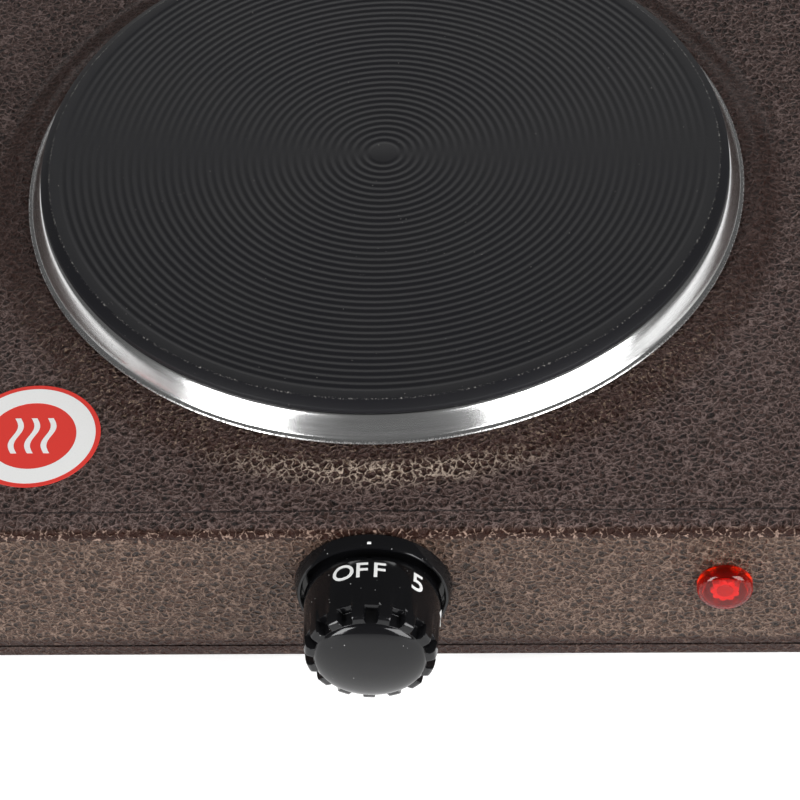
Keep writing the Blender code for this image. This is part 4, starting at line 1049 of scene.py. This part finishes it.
def carried_over():
    """Gives each of the frame's own nodes that still shows its finish."""
    by_slot = {"hammertone_paint": PAINT, "cast_iron": IRON, "polished_steel": STEEL, "plated_steel": PLATED,
               "black_plastic": BLACK, "red_lens": RED_CLEAR, "bulb_glass": BULB, "rubber": RUBBER,
               "ceramic": CERAMIC, "brass": BRASS, "label": INK_RED, "wire_cover": COVERED}
    slots = {part["node"]: part["material_slot"] for part in frame["record"]["subparts"]}
    for name, node in frame["nodes"].items():
        material = WINDING if name == "heating_coil" else by_slot[slots[name]]
        for index in range(len(node.data.materials)):
            node.material_slots[index].material = material
        if not node.data.materials:
            node.data.materials.append(material)


# ---------------------------------------------------------------- stage

AIM = Vector((CENTRE.x, CENTRE.y, PANEL_Z))
CAMERA_FROM_AIM = Vector((0.05407, -0.68540, 0.65565))
CAMERA_DOWN, CAMERA_ROUND, CAMERA_ROLL = (math.radians(a) for a in (47.12, 4.507, -3.747))
CAMERA_LENS, CAMERA_SENSOR = 157.5, 36
WORLD_STRENGTH = 0.11
LIGHTS = (      # name, place from the aim, width, height, watts
    ("soft_left", (-0.86, -1.00, 0.47), 0.58, 0.85, 19.0),
    ("soft_right", (1.01, -0.86, 0.47), 1.0, 0.85, 25.0),
    ("soft_back", (0.0, 1.6, 0.78), 1.8, 0.5, 8.5))


def pale_floor():
    """Pale floor with painted light: it glows a little, and painted shade makes it darker well in front of
    the hot plate.
    """
    alone(None)
    bpy.ops.mesh.primitive_plane_add(size=12, location=(0, 0, -0.0002))
    floor = bpy.context.object
    floor.name = "floor"
    ground = Finish("floor_pale", Emission_Strength=0.35)
    _, y, _ = ground.axes(ground.place(CENTRE))
    tone = ground.noise(ground.place(), 0.004, 2.0)
    # painted light and shade: the glow is white near the hot plate and grey well in front of it, and the
    # floor's colour darkens the same way
    away = (0 - y).step(184.0, 620.0)
    pale = ground.mix(tone * 0.1, (0.93, 0.93, 0.93), (0.88, 0.88, 0.885))
    ground.glow(ground.mix(away, (1.0, 1.0, 1.0), (0.30, 0.30, 0.30)))
    ground.wear(ground.mix(away, pale, (0.60, 0.60, 0.605)), 0.8)
    floor.data.materials.append(ground.material)


def studio_light():
    """A dim white world and three soft panels, all turned to the hot plate."""
    world = bpy.data.worlds.new("studio")
    bpy.context.scene.world = world
    world.use_nodes = True
    backdrop = world.node_tree.nodes["Background"]
    backdrop.inputs["Color"].default_value = (1.0, 1.0, 1.0, 1)
    backdrop.inputs["Strength"].default_value = WORLD_STRENGTH
    for name, at, wide, high, watts in LIGHTS:
        lamp = bpy.data.lights.new(name, "AREA")
        lamp.shape = "RECTANGLE"
        lamp.size, lamp.size_y = wide, high
        lamp.energy = watts
        light = bpy.data.objects.new(name, lamp)
        bpy.context.scene.collection.objects.link(light)
        light.location = AIM + Vector(at)
        light.rotation_euler = (-Vector(at)).to_track_quat("-Z", "Y").to_euler()


def camera():
    """Looks down from the front, a little from the right, and slightly rolled."""
    flat = math.cos(CAMERA_DOWN)
    ahead = Vector((-math.sin(CAMERA_ROUND) * flat, math.cos(CAMERA_ROUND) * flat, -math.sin(CAMERA_DOWN)))
    right = ahead.cross(Vector((0, 0, 1))).normalized()
    up = right.cross(ahead)
    rolled_right = right * math.cos(CAMERA_ROLL) + up * math.sin(CAMERA_ROLL)
    rolled_up = up * math.cos(CAMERA_ROLL) - right * math.sin(CAMERA_ROLL)
    turn = Matrix((rolled_right, rolled_up, -ahead)).transposed().to_4x4()
    lens = bpy.data.cameras.new("camera")
    lens.sensor_width, lens.lens = CAMERA_SENSOR, CAMERA_LENS
    lens.clip_start, lens.clip_end = 0.02, 50
    eye = bpy.data.objects.new("camera", lens)
    bpy.context.scene.collection.objects.link(eye)
    eye.matrix_world = Matrix.Translation(AIM + CAMERA_FROM_AIM) @ turn
    bpy.context.scene.camera = eye
    bpy.context.scene.view_settings.view_transform = "Standard"


# ---------------------------------------------------------------- the whole object

carried_over()
top_cover()
base_tray()
feet()
cooking_plate()
trim_ring()
knob()
dial_print()
bezel()
lamp_cap()
lamp_sleeve()
lamp_star()
top_label()
cord_gland()
pale_floor()
studio_light()
camera()
